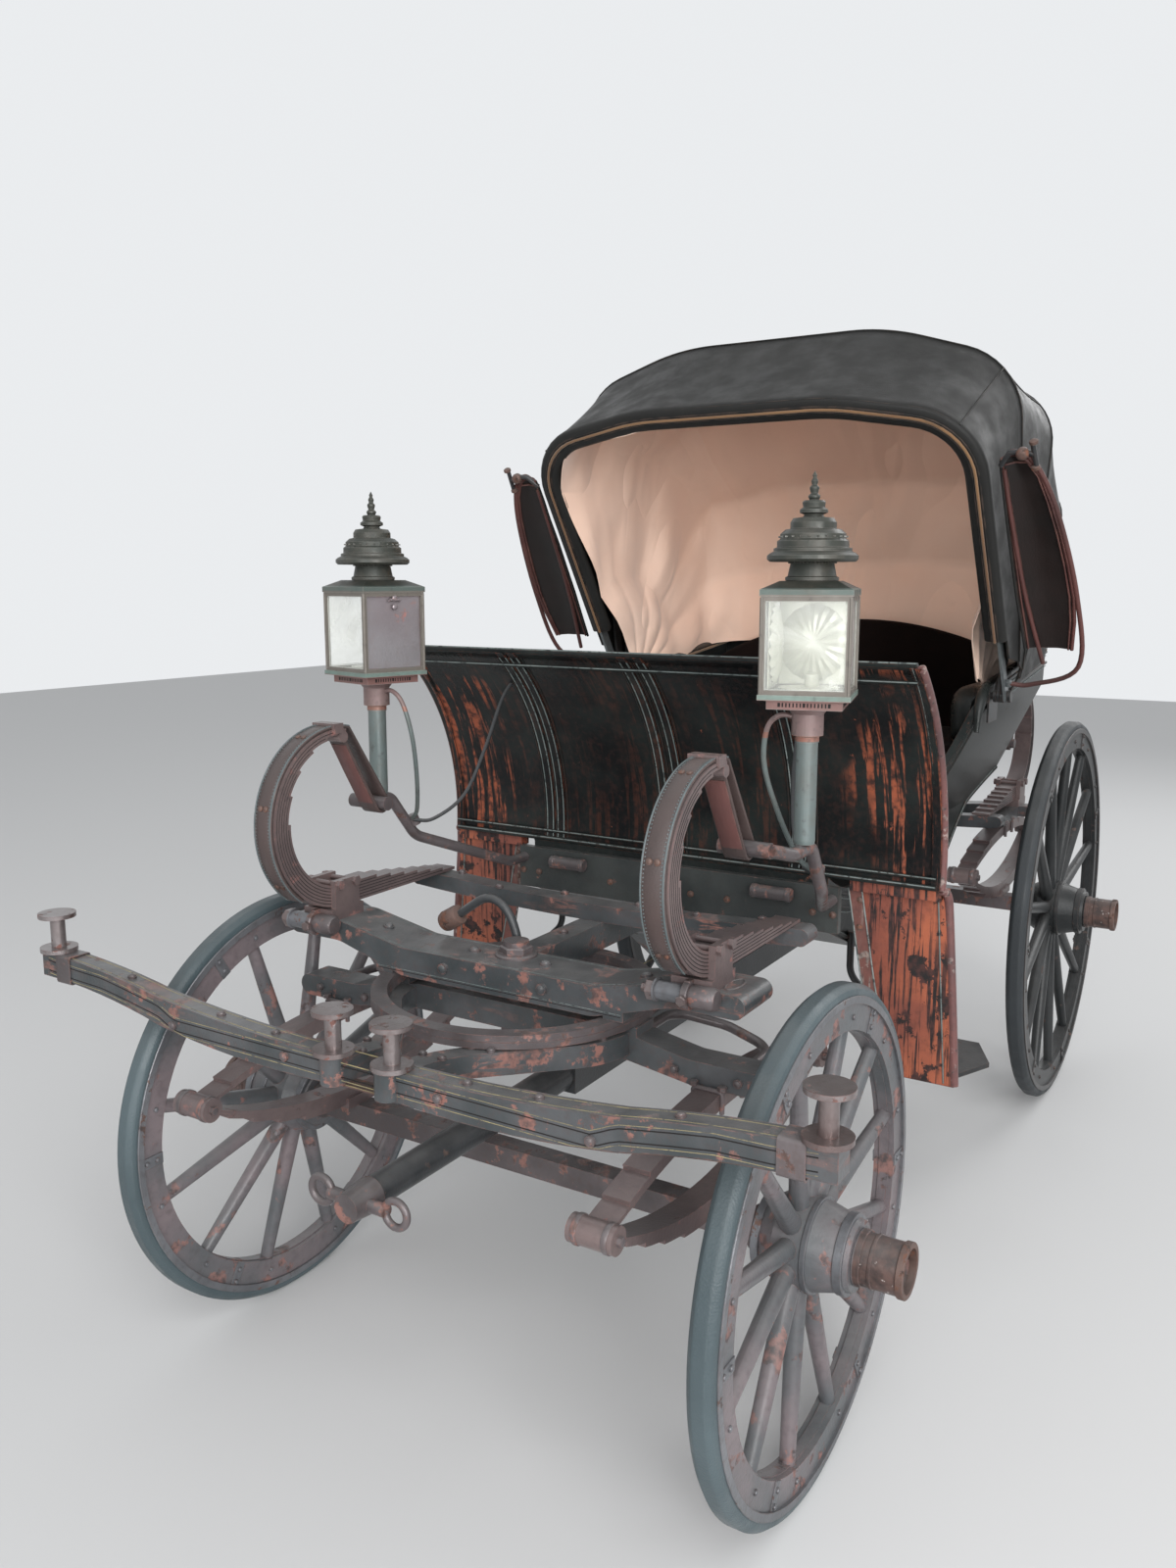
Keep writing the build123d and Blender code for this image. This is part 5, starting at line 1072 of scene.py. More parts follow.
# A round-topped squab, its face swollen and drawn in along its edge.
def seatBack():
    x0, x1 = seat["backX"]
    shape = Shape("seatBack")
    low, side = seat["backLow"], seat["backSide"]
    high, wide = seat["backSteps"]
    rows = []
    for j in range(wide + 1):
        v = -math.cos(math.pi * j / wide)
        front, back = [], []
        for i in range(high + 1):
            u = eased(i, high)
            y = min(seat["backHalf"], bodySide(low + (side - low) * min(1, u * 1.2), seat["wall"])) * v
            z = low + (backTopAt(y) - low) * u
            edge = min(1 - abs(v), (1 - u) * 1.1) * 400
            swell = seat["backSwell"] * math.sqrt(max(0.0, min(1.0, edge / 60)))
            fold = 2.5 * noise.noise(Vector((y * 0.008, z * 0.008, 2)))
            front.append(fromAxle(x1 - 28 + swell + fold, y, z))
            lean = 20 if z > 1325 else 20 * (z - low) / 322
            back.append(fromAxle(x0 + 30 - lean * 0.4, y, z - 1))
        rows.append(front + back[::-1])
    shape.grid(rows, plushCloth, wrapColumns=True, capEnds=True)
    welt = [fromAxle(x1 - 27, y, backTopAt(y) - 1) for y in range(-490, 491, 20)]
    shape.tube(welt, 0.004, plushWelt, sides=8)
    piece = shape.made("carriage", "seat_cloth", sharp=60)
    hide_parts("seat_back")


def seatArms():
    x0, x1 = seat["armX"]
    inner, low, high, outer = seat["armInner"], seat["armLow"], seat["armHigh"], seat["armOuter"]
    outline = [(bodySide(low, outer), low), (inner + 12, low), (inner + 2, low + 18), (inner - 1, 1180),
               (inner + 2, 1222), (inner + 16, 1246), (inner + 44, high - 1), (inner + 74, high - 2),
               (bodySide(1240, outer), high - 8), (bodySide(1180, outer), 1180)]
    line = smoothPath([Vector((y, z)).to_3d() for y, z in outline], 3, closed=True)
    middleY, middleZ = seat["armMiddle"]
    shape = Shape("seatArms")
    rows = []
    for i in range(25):
        x = x0 + (x1 - x0) * i / 24
        end = min(1.0, math.sqrt(max(0.0, 1 - max(0, (x - x1 + 60) / 60) ** 2)))
        rows.append([fromAxle(x, middleY + (p.x - middleY) * (0.25 + 0.75 * end),
                              middleZ + (p.y - middleZ) * (0.45 + 0.55 * end)) for p in line])
    shape.grid(rows, armLeather, wrapColumns=True, capEnds=True)
    shape.mirrored()
    piece = shape.made("carriage", "black_leather", sharp=55)


seatCushion()
seatBack()
seatArms()
print("seat ready")


# Lamps: bevelled panes, a silvered inside, a hasped door, a pierced gallery whose slots are painted shade,
# and a bent stay
lamp = {
    "place": (1777, 488), "toeOut": 15, "low": 1338, "high": 1502, "side": 150, "bar": 8, "bevel": 13,
    "thick": 3.2, "swell": 2.6, "swellSteps": 14, "flutes": 40, "flareHigh": 1420,
    "gallery": 127, "slotGap": 6, "slot": (1317.5, 1324.5), "points": 24, "crownHigh": 1599,
    "beads": 40, "beadHigh": 1556,
    "stay": ((1777, 472, 1292), (1782, 440, 1296), (1780, 414, 1270), (1764, 404, 1200), (1732, 420, 1110),
             (1702, 446, 1030), (1690, 470, 1004)),
    "curl": ((1688, 470, 1000), (1652, 440, 1000), (1596, 396, 1050), (1548, 372, 1150), (1500, 362, 1250),
             (1468, 358, 1288), (1452, 356, 1290)),
}


def lampPlace(x, y, z):
    a = math.radians(lamp["toeOut"])
    return fromAxle(lamp["place"][0] + x * math.cos(a) - y * math.sin(a),
                    lamp["place"][1] + x * math.sin(a) + y * math.cos(a), z)


# A place on one of the lamp's four sides, x away from its middle, quarter turns from the front.
def lampSide(quarter, x, y, z):
    for _ in range(quarter):
        x, y = -y, x
    return lampPlace(x, y, z)


# An upright slab on one side of the lamp, between two distances from its middle.
def lampSlab(shape, quarter, near, far, wide, low, high, finish):
    corners = [(wide[1], low), (wide[1], high), (wide[0], high), (wide[0], low)]
    rows = [[lampSide(quarter, x, y, z) for y, z in corners] for x in (near, far)]
    shape.grid(rows, finish, wrapColumns=True, capEnds=True)


def paneSizes():
    edge = lamp["bar"] + 0.2
    return lamp["side"] / 2 - edge, lamp["low"] + edge, lamp["high"] - edge, lamp["side"] / 2 - 2


# One pane with a bevelled border, its outside on the case's window.
def lampPane(shape, quarter):
    half, low, high, out = paneSizes()
    rows = []
    for x, cut in ((out - lamp["thick"], 0), (out - 1.6, 0), (out, lamp["bevel"])):
        corners = [(half - cut, low + cut), (half - cut, high - cut), (-half + cut, high - cut),
                   (-half + cut, low + cut)]
        rows.append([lampSide(quarter, x, y, z) for y, z in corners])
    shape.grid(rows, paneGlass, wrapColumns=True, capEnds=True)


# A door of thin metal, its face a little swollen.
def lampDoor(shape, quarter):
    half, low, high, out = paneSizes()
    base, count = out - lamp["thick"], lamp["swellSteps"]
    middleZ = (low + high) / 2
    rows = []
    for i in range(count + 1):
        y = -half + 2 * half * i / count
        face, back = [], []
        for j in range(count + 1):
            z = low + (high - low) * j / count
            rise = lamp["swell"] * (1 - (y / half) ** 4) * (1 - min(1, abs((z - middleZ) / half)) ** 4)
            face.append(lampSide(quarter, base + rise, y, z))
            back.append(lampSide(quarter, base - 1, y, z))
        rows.append(face + back[::-1])
    shape.grid(rows, doorMetal, wrapColumns=True, capEnds=True)


# A fluted, slightly beaten reflector on a door's inside.
def lampReflector(shape, quarter):
    face = lamp["side"] / 2 - 15
    rows = []
    for ring in range(7):
        r, deep = 5 + ring * 9.2, 12 - 10 * (ring / 6) ** 2
        row = []
        for k in range(lamp["flutes"]):
            a = 2 * math.pi * k / lamp["flutes"]
            flute = (2.0 if k % 2 else -2.0) * ring / 6 + (0 if ring < 6 else 2)
            beaten = 1.6 * abs(noise.noise(Vector((k * 0.3, ring * 0.7, 4.0))))
            row.append(lampSide(quarter, face - deep + flute - beaten, r * math.cos(a),
                                lamp["flareHigh"] + r * 1.12 * math.sin(a)))
        rows.append(row)
    shape.grid(rows, lampSilver, wrapColumns=True, capEnds=True)


def lampInside(shape):
    half, low, high = lamp["side"] / 2 - 11, lamp["low"] + 9, lamp["high"] - 4
    for quarter in (2, 3):
        lampDoor(shape, quarter)
        lampSlab(shape, quarter, half - 2.5, half - 1.2, (-half + 4, half - 4), low, high, lampSilver)
    shape.lathe([(0.001, 0), (0.044, 0), (0.052, 0.005), (0.052, 0.007), (0.001, 0.007)],
                lampPlace(0, 0, 1340), lampSilver)
    for quarter in (2, 3):
        lampReflector(shape, quarter)
    shape.lathe([(0.011, 0), (0.013, 0.004), (0.012, 0.022), (0.006, 0.026)], lampPlace(-8, 4, 1346),
                lampSilver, sides=24)


# The hasp over a door's top, with a stud above it and one below.
def lampHasp(shape):
    door = lamp["side"] / 2
    hasp = [(door - 1, -13, 1484), (door + 4, -13, 1487), (door + 4, 13, 1487), (door - 1, 13, 1484)]
    shape.tube([lampSide(3, *p) for p in hasp], 0.0024, doorMetal, sides=8)
    for z in (1490, 1472):
        shape.lathe([(0.006, 0), (0.006, 0.004), (0.003, 0.006)], lampSide(3, door - 1, 0, z), doorMetal,
                    axis=lampSide(3, 1, 0, 0) - lampPlace(0, 0, 0), sides=16)


# Slots round the gallery, drawn as near-black slabs of painted shade, and a thin bar up each of the case's
# corners.
def lampGallery(shape):
    face, side = lamp["gallery"] / 2, lamp["side"] / 2
    for quarter in range(4):
        for k in range(-7, 8):
            middleY, half = k * lamp["slotGap"], 1.2 if k % 7 else 2.2
            # Each slot is a thin near-black slab on the gallery's face: painted shade where the hole is.
            lampSlab(shape, quarter, face - 0.5, face + 0.25, (middleY + half, middleY - half),
                     *lamp["slot"], holeShadeAndBlackLine)
    for quarter in range(4):
        for y in (-side + 2, side - 2):
            shape.tube([lampSide(quarter, side - 1, y, lamp["low"] + 2),
                        lampSide(quarter, side - 1, y, lamp["high"] - 2)], 0.0026, lampPaint, sides=8)


# A crown of small points round the chimney and a string of beads below it.
def lampCrown(shape):
    for k in range(lamp["points"]):
        a = 2 * math.pi * k / lamp["points"]
        base = lampPlace(0, 0, lamp["crownHigh"])
        ring = [base + Vector((math.cos(a) * r - math.sin(a) * s, math.sin(a) * r + math.cos(a) * s, 0))
                for r, s in ((0.051, -0.0045), (0.0585, 0), (0.051, 0.0045))]
        shape.grid([ring, [p + Vector((0, 0, 0.0022)) for p in ring]], lampPaint, wrapColumns=True,
                   capEnds=True)
    for x, y in circle(0.039, lamp["beads"]):
        shape.lathe([(0.0012, 0), (0.0024, 0.0015), (0.0012, 0.003)],
                    lampPlace(0, 0, lamp["beadHigh"]) + Vector((x, y, 0)), lampPaint, sides=8)


def lampStays():
    stay = Shape("lampStays")
    for name, radius, finish, sides in (("stay", 0.0048, lampPaint, 10), ("curl", 0.0042, polePaint, 10)):
        stay.tube(smoothPath([fromAxle(*p) for p in lamp[name]], 8), radius, finish, sides=sides)
    stay.lathe([(0.006, 0), (0.013, 0.002), (0.013, 0.026), (0.006, 0.028)], fromAxle(1674, 474, 985),
               ironPaint, axis=(0.3, 0.2, 1), sides=16)
    stay.mirrored()
    stay.made("carriage", "lamp_bronze")


def lampParts():
    glass = Shape("lampGlass")
    for quarter in (0, 1):
        lampPane(glass, quarter)
    glass.mirrored()
    piece = glass.made("carriage", "lamp_glass", sharp=12)
    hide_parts("lamp_glass_left", "lamp_glass_right")
    inside = Shape("lampInside")
    lampInside(inside)
    lampHasp(inside)
    lampGallery(inside)
    lampCrown(inside)
    inside.mirrored()
    inside.made("carriage", "lamp_bronze")
    lampStays()


lampParts()
print("lamps ready")


# Braces: a leather strap over each C-spring, round the shackle and back up to the spring's eye
spring = {
    "front": (2010, 1066.4, 1), "rear": (-150, 1030.5, -1), "y": 410, "radius": 176, "shackle": (-130, 9),
    "wide": 44, "thick": 6, "wrap": 14.6, "leaf": 6, "spread": 25, "tail": 360,
    "leaves": ((98, 1.0), (90, 0.88), (80, 0.76), (64, 0.64), (46, 0.52), (26, 0.40), (4, 0.28)),
}
acrossWay = Vector((0, 1, 0))


# Points of the arc through three points in a plane, as pairs.
def arcThrough(a, b, c, steps=12):
    (ax, ay), (bx, by), (cx, cy) = a, b, c
    d = 2 * (ax * (by - cy) + bx * (cy - ay) + cx * (ay - by))
    aa, bb, cc = ax * ax + ay * ay, bx * bx + by * by, cx * cx + cy * cy
    ux = (aa * (by - cy) + bb * (cy - ay) + cc * (ay - by)) / d
    uy = (aa * (cx - bx) + bb * (ax - cx) + cc * (bx - ax)) / d
    r = math.hypot(ax - ux, ay - uy)
    first, mid, last = (math.atan2(y - uy, x - ux) for x, y in (a, b, c))
    turn = 2 * math.pi
    sweep = (last - first) % turn
    if (mid - first) % turn > sweep:
        sweep -= turn
    return [(ux + r * math.cos(first + sweep * k / steps), uy + r * math.sin(first + sweep * k / steps))
            for k in range(steps + 1)]


def springPlace(end, x, y, z):
    cx, cz, way = spring[end]
    return fromAxle(cx + x * way, y, cz + z)


# Points of a circle at the given degrees, as pairs.
def around(x, z, r, degrees):
    return [(x + r * math.cos(math.radians(a)), z + r * math.sin(math.radians(a))) for a in degrees]


# A head's place on a brace's outside, a few degrees round the spring, with the way that it faces.
def onBrace(end, radius, turn, across):
    return (springPlace(end, (radius + 3) * math.cos(turn), spring["y"] + across,
                        (radius + 3) * math.sin(turn)),
            (math.cos(turn) * spring[end][2], 0, math.sin(turn)))


def braceParts(end):
    radius = spring["radius"] + 0.4 + spring["thick"] / 2
    sx, sz = spring["shackle"]
    y, way = spring["y"], spring[end][2]
    over = around(0, 0, radius, range(-54, 105, 4))
    line = over + around(sx, sz, spring["wrap"] + spring["thick"] / 2, range(150, 331, 20))
    line += [(-60, 92), (-26, 150)]
    shape = Shape(end + "Braces")
    path = [springPlace(end, x, y, z) for x, z in line]
    shape.strap(path, spring["wide"] / 1000, spring["thick"] / 1000, braceLeather, acrossWay)
    out = 1 + 3.2 / radius
    edge = [springPlace(end, x * out, y, z * out) for x, z in over]
    for across in (-0.0195, 0.0195):
        shape.tube([p + acrossWay * across for p in edge], 0.0017, braceEdge, sides=6)
    back = [springPlace(end, x, y, z) for x, z in ((sx + 23, sz + 6), (-64, 86), (-32, 142))]
    shape.strap([p + Vector((0.0042 * way, 0, -0.002)) for p in back], 0.038, 0.0016, braceInner, acrossWay)
    shape.mirrored()
    piece = shape.made("carriage", "black_leather", sharp=60)
    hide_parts(end + "_braces")
    stitches = [onBrace(end, radius, math.atan2(z, x) + math.radians(step), across)
                for x, z in over for across in (-15.5, 15.5) for step in (0, 2)]
    heads(end + "BraceStitches", stitches, 0.0013, 0.0006, braceEdge, "carriage", corners=8, dome=0.5)
    rivets = [onBrace(end, radius, math.radians(a), across) for a in (-38, 14, 66) for across in (-7, 7)]
    rivets.append((springPlace(end, -88, y, 97), (-0.86 * way, 0, 0.5)))
    heads(end + "BraceRivets", rivets, 0.0055, 0.0016, rustIron, "carriage", corners=20, dome=0.35)


# Thin near-black lines of painted shade between the leaves, on both sides of a C-spring and along its tail.
def leafGapShade(end):
    shape = Shape(end + "LeafGapShade")
    for i, (top, tail) in enumerate(spring["leaves"][1:], 1):
        r, long = spring["radius"] - i * spring["leaf"], spring["tail"] * tail
        line = [(-long, -r), (-long / 2, -r)] + around(0, 0, r, range(-90, top + 1, 6))
        for across in (-spring["spread"], spring["spread"]):
            # Each gap between two leaves is a near-black tube: painted shade.
            shape.tube([springPlace(end, x, spring["y"] + across, z) for x, z in line], 0.0007, holeShadeAndBlackLine,
                       sides=4)
    shape.mirrored()
    shape.made("carriage", "gear_paint")


for end in ("front", "rear"):
    braceParts(end)
    leafGapShade(end)


# Pole slings: buckled straps round the pole's butt and the perch
sling = {"at": (1130, 520), "half": 37, "low": 511, "high": 671, "corner": 5, "wide": 0.036,
         "thick": 0.0042, "holes": (60, 72, 110, 122)}


# A loop of straight runs and small rounded corners, from the middle of one side round to it again.
def boxLoop(first, corners, bend, steps):
    points = [first] + [(a, b, 0) for a, b in corners] + [(first[0], first[1] + 1, 0)]
    return roundedCorners(points, [bend] * 4, steps)


def poleSlings():
    half, low, high = sling["half"], sling["low"], sling["high"]
    along = Vector((1, 0, 0))
    shape = Shape("poleSlings")
    for x in sling["at"]:
        corners = [(-half, low), (half, low), (half, high), (-half, high)]
        path = boxLoop((-half, (low + high) / 2, 0), corners, sling["corner"], 4)
        loop = [fromAxle(x, p.x, p.y) for p in path]
        shape.strap(loop, sling["wide"], sling["thick"], slingLeather, along)
        tongue = [fromAxle(x, half + 4.6, low + 46), fromAxle(x, half + 5.4, low + 96),
                  fromAxle(x, half + 4.8, high - 24)]
        shape.strap(tongue, 0.03, 0.0036, slingLeather, along)
        buckle = [fromAxle(x + dx, half + 8.5, low + 88 + dz)
                  for dx, dz in ((-22, -14), (22, -14), (22, 14), (-22, 14))]
        shape.tube(buckle, 0.0026, rustIron, sides=8, closed=True)
        pin = [fromAxle(x, half + 9.5, low + 74), fromAxle(x, half + 9.5, low + 101)]
        shape.tube(pin, 0.0018, rustIron, sides=8)
    piece = shape.made("carriage", "black_leather", sharp=60)
    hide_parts("pole_slings")
    # The strap's holes are small near-black discs: painted shade.
    holes = [(fromAxle(x, half + 6.4, low + dz), (0, 1, 0)) for x in sling["at"] for dz in sling["holes"]]
    heads("slingHoles", holes, 0.002, 0.0006, holeShadeAndBlackLine, "carriage", corners=10, dome=0.2, both=False)


poleSlings()
print("leather ready")


# Dash and wings: worn rims, ribs' light edges, the moulded foot
dash = {
    "foot": (1332, 905), "belly": (1378, 1170), "top": (1538, 1368), "half": 612,
    "ribs": (300, 330, -300, -330, 20, -20), "ribHalf": 9, "front": 13,
    # forward, up, radius, finish
    "mouldings": ((1346, 911, 0.006, bodyPaint), (1352, 914, 0.0015, lightLine),
                  (1347, 930, 0.004, bodyPaint), (1351, 932, 0.0013, lightLine),
                  (1538, 1371, 0.0075, bodyPaint), (1543, 1377, 0.0016, lightLine),
                  (1528, 1340, 0.004, bodyPaint), (1534, 1341, 0.0013, lightLine)),
    # ahead, in from the edge, radius, finish, sides
    "edges": ((0, 0, 0.0085, rimPaint, 14), (9, 16, 0.0035, bodyPaint, 8), (11.5, 14, 0.0014, lightLine, 6)),
}
dashWing = {
    "rim": ((1334, 612, 906), (1318, 621, 892), (1313, 626, 840), (1313, 640, 660), (1313, 652, 488)),
    "inner": ((1322, 428, 884), (1322, 462, 690), (1322, 504, 489)),
    # start, end, radius, finish, sides
    "lines": (((1324, 424, 888), (1324, 612, 888), 0.0042, bodyPaint, 10),
              ((1328, 424, 891), (1328, 612, 891), 0.0014, lightLine, 6),
              ((1322, 604, 880), (1322, 632, 492), 0.0016, lightLine, 6),
              ((1313, 500, 489), (1313, 652, 489), 0.0055, blackIron, 10)),
}
barrel = {"at": (260, -260), "x": 1377, "z": 863,
          "outline": ((0.001, -0.0465), (0.0128, -0.0465), (0.0155, -0.044), (0.0155, -0.035),
                      (0.0147, -0.034), (0.0147, 0.034), (0.0155, 0.035), (0.0155, 0.044),
                      (0.0128, 0.0465), (0.001, 0.0465))}


def dashMouldings():
    curve = arcThrough(dash["foot"], dash["belly"], dash["top"], 28)
    half, front = dash["half"], dash["front"]
    shape = Shape("dashMouldings")
    for sign in (1, -1):
        for proud, within, radius, finish, sides in dash["edges"]:
            shape.tube([fromAxle(x + proud, sign * (half - within), z) for x, z in curve], radius, finish,
                       sides=sides)
    for rib in dash["ribs"]:
        for across in (-dash["ribHalf"] + 0.8, dash["ribHalf"] - 0.8):
            shape.tube([fromAxle(x + front, rib + across, z) for x, z in curve[:-1]], 0.0014, lightLine,
                       sides=6)
        for across in (-16, 16):
            shape.tube([fromAxle(x + 8, rib + across, z) for x, z in curve[:-1]], 0.0024, bodyPaint, sides=6)
    for x, z, radius, finish in dash["mouldings"]:
        shape.tube([fromAxle(x, y, z) for y in range(-604, 605, 151)], radius, finish, sides=12)
    shape.made("carriage", "body_paint")


def wingFrames():
    shape = Shape("wingFrames")
    shape.tube(smoothPath([fromAxle(*p) for p in dashWing["rim"]], 6), 0.0095, rimPaint, sides=14)
    inner = [fromAxle(*p) for p in dashWing["inner"]]
    shape.strap(inner, 0.030, 0.004, wingEdge, acrossWay)
    for across in (0.0145, -0.0145):
        shape.tube([p + Vector((0.003, across, 0)) for p in inner], 0.0016, lightLine, sides=6)
    for start, stop, radius, finish, sides in dashWing["lines"]:
        shape.tube([fromAxle(*start), fromAxle(*stop)], radius, finish, sides=sides)
    shape.mirrored()
    shape.made("carriage", "body_paint")


def boardFittings():
    shape = Shape("boardBarrels")
    for y in barrel["at"]:
        shape.lathe(barrel["outline"], fromAxle(barrel["x"], y, barrel["z"]), ironPaint, axis=(0, 1, 0),
                    sides=28)
    shape.made("carriage", "worn_iron")
    bolts = [(fromAxle(1363, y, 830), (1, 0, 0)) for y in (60, 150, 350, 395)]
    bolts += [(fromAxle(1322, 440, z), (1, 0, 0)) for z in (860, 800)]
    heads("boardBolts", bolts, 0.0075, 0.003, rustIron, "carriage", corners=20, dome=0.5)


dashMouldings()
wingFrames()
boardFittings()


# Body: parallel band mouldings, a rolled leather top and a gold cord inside it
trim = {
    # inside the edge by, radius, finish
    "bands": ((13, 0.0045, bodyPaint), (24, 0.0014, lightLine), (44, 0.0045, bodyPaint),
              (54, 0.0012, lightLine)),
    "rollIn": 509, "roll": 0.0135, "cordIn": 493, "cord": 0.0042, "nailsOut": 519.5,
    "top": ((-12, 1330), (610, 1262)), "backHalf": 505, "backRoll": 0.010,
    "topArcs": (((610, 1262), (675, 1238), (700, 1180), 8), ((700, 1180), (790, 990), (960, 880), 16),
                ((960, 880), (1150, 845), (1345, 905), 14)),
    "low": ((1340, 793), (1130, 703), (720, 703)),
    "lowArcs": (((720, 703), (560, 727), (430, 790), 8), ((430, 790), (250, 895), (46, 974), 10)),
}


# A line carried on by arcs, each from the end of the one before.
def carriedOn(line, arcs):
    for arc in arcs:
        line = line[:-1] + arcThrough(*arc)
    return line


def bodySideLine():
    (xa, za), (xb, zb) = trim["top"]
    line = [(xa + (xb - xa) * k / 10, za + (zb - za) * k / 10) for k in range(11)]
    return carriedOn(line, trim["topArcs"])


# A line's copy, moved to the right of its own direction.
def inward(line, distance):
    found = []
    for i, (x, z) in enumerate(line):
        (xa, za), (xb, zb) = line[max(0, i - 1)], line[min(len(line) - 1, i + 1)]
        long = math.hypot(xb - xa, zb - za)
        found.append((x + (zb - za) / long * distance, z - (xb - xa) / long * distance))
    return found


def bodyParts():
    shape = Shape("bodyMouldings")
    side = bodySideLine()
    for distance, radius, finish in trim["bands"]:
        line = [p for p in inward(side, distance) if p[0] < 1338]
        shape.tube([fromAxle(x, bodySide(z) + 0.8, z) for x, z in line], radius, finish, sides=8)
    low = carriedOn(list(trim["low"]), trim["lowArcs"])
    shape.tube([fromAxle(x, bodySide(z) + 0.8, z) for x, z in low], 0.0045, bodyPaint, sides=8)
    shape.tube([fromAxle(x, bodySide(z) + 2.5, z + 4) for x, z in low], 0.0012, lightLine, sides=6)
    roll = [(x, z) for x, z in side if z > 1150]
    sizes = [1.0] * (len(roll) - 4) + [0.9, 0.75, 0.6, 0.5]
    shape.tube([fromAxle(x, trim["rollIn"], z) for x, z in roll], trim["roll"], armLeather, sides=16,
               scales=sizes)
    cord = [fromAxle(x, trim["cordIn"], z - 5) for x, z in roll if x < 600]
    shape.tube(cord, trim["cord"], goldTrim, sides=8)
    shape.mirrored()
    half, (back, high) = trim["backHalf"], trim["top"][0]
    shape.tube([fromAxle(back, y, high + 1) for y in range(-half, half + 1, 101)], trim["backRoll"],
               armLeather, sides=12)
    shape.made("carriage", "body_paint")
    nails = [(fromAxle(x, trim["nailsOut"], z - 6), (0, 1, 0)) for x, z in side[:10]]
    heads("rollNails", nails, 0.004, 0.0012, goldCord, "carriage", corners=12, dome=0.5)


bodyParts()
print("body ready")


# Wheels: tyre channel lips, nave bands, felloe plates and rivets
wheelSizes = {"front": (1963, 437, 12, 6), "rear": (0, 557.5, 14, 7)}  # forward, radius, spokes, plates
wheelOut, rimWithin = 600, 26  # out from the middle line, and from the tread in to the tyre's channel
wheelBands = (  # inner and outer radius, from and to along the axle, finish: 0 steel, 1 rust, 2 paint
    (58, 67.5, 54, 70, 0), (70, 80.5, 3, 13, 0), (58, 67.5, -88, -74, 0), (36.4, 46, 150, 162.5, 1),
    (42, 46.5, 78, 92, 2), (42, 44.6, 104, 110, 2),
)


# A closed outline (radius, out along Y) turned about a wheel's axis.
def ringOn(shape, loop, centre, finish):
    rows = []
    for across, up in circle(1, 72):
        rows.append([centre + Vector((r * across, y, r * up)) / 1000 for r, y in loop])
    shape.grid(rows, finish, wrapRows=True, wrapColumns=True)


# One flat band, its outer corners cut back.
def wheelBand(shape, centre, way, inner, outer, low, high, finish):
    soft = 1.2
    loop = [(inner, low), (outer - soft, low), (outer, low + soft), (outer, high - soft),
            (outer - soft, high), (inner, high)]
    ringOn(shape, [(r, y * way) for r, y in loop], centre, finish)


def wheelRivets(rim, spokes, plates, centre, way):
    rivets = []
    for face in (way, -way):
        spots = [(2 * math.pi * k / plates, r, 21.4) for k in range(plates) for r in (rim - 14, rim - 38)]
        spots += [(2 * math.pi * (k + 0.5) / spokes, rim - 30, 19) for k in range(spokes)]
        for a, r, out in spots:
            rivets.append((centre + Vector((r * math.cos(a), out * face, r * math.sin(a))) / 1000,
                           (0, face, 0)))
    return rivets


def wheelParts(end, sideName, way):
    x, radius, spokes, plates = wheelSizes[end]
    centre = fromAxle(x, wheelOut * way, radius)
    body = end + "_wheel_" + sideName
    # The rear wheels take the darker copy of the wheel paint: painted shade.
    paint = wheelPaint if end == "front" else shadedRearWheelPaint
    steel = channelSteel if end == "front" else blackIron
    shape = Shape(body + "Bands")
    rim = radius - rimWithin
    for low, high in ((18.6, 24.2), (-24.2, -18.6)):
        wheelBand(shape, centre, way, rim - 7, rim + 7, low, high, steel)
    for inner, outer, low, high, which in wheelBands:
        wheelBand(shape, centre, way, inner, outer, low, high, (steel, rustIron, paint)[which])
    wheelBand(shape, centre, way, rim - 54, rim - 49, -9, 9, paint)
    for k in range(plates):
        spin = Matrix.Rotation(-2 * math.pi * k / plates, 3, "Y")
        for face in (20.2, -20.2):
            shape.block((-0.026, -0.0013, -0.011), (0.026, 0.0013, 0.011), steel, soft=0.0006, turn=spin,
                        centre=centre + spin @ Vector((rim - 26, 0, 0)) / 1000
                        + Vector((0, face * way, 0)) / 1000)
    shape.made(body, "worn_iron")
    rivets = wheelRivets(rim, spokes, plates, centre, way)
    heads(body + "Rivets", rivets, 0.0052, 0.0022, steel, body, corners=18, dome=0.55, both=False)


for sideName, way in (("left", 1), ("right", -1)):
    for end in ("front", "rear"):
        wheelParts(end, sideName, way)
print("wheels ready")


# Gear: bolts, nuts, pinstripes and plates laid onto the surfaces of the fixed nodes
foreCarriage = ("front_bed", "futchells", "splinter_bar", "lower_wheel_plate", "front_axle")
down, up, ahead, behind = (0, 0, -1), (0, 0, 1), (1, 0, 0), (-1, 0, 0)
surfaces = {}


# A node's mesh as a search tree, in the shared frame.
def surfaceOf(name):
    if name not in surfaces:
        piece = nodes[name]
        points = [piece.matrix_world @ v.co for v in piece.data.vertices]
        surfaces[name] = BVHTree.FromPolygons(points, [tuple(p.vertices) for p in piece.data.polygons])
    return surfaces[name]


# Where a line from a place first meets a node, with the surface's outward direction there.
def hit(name, x, y, z, toward):
    way = Vector(toward)
    place, normal, _, _ = surfaceOf(name).ray_cast(fromAxle(x, y, z), way)
    if place is None:
        return None
    return place, normal if normal.dot(way) < 0 else -normal


def hitAll(name, starts, toward):
    found = [hit(name, *start, toward) for start in starts]
    return [f for f in found if f]


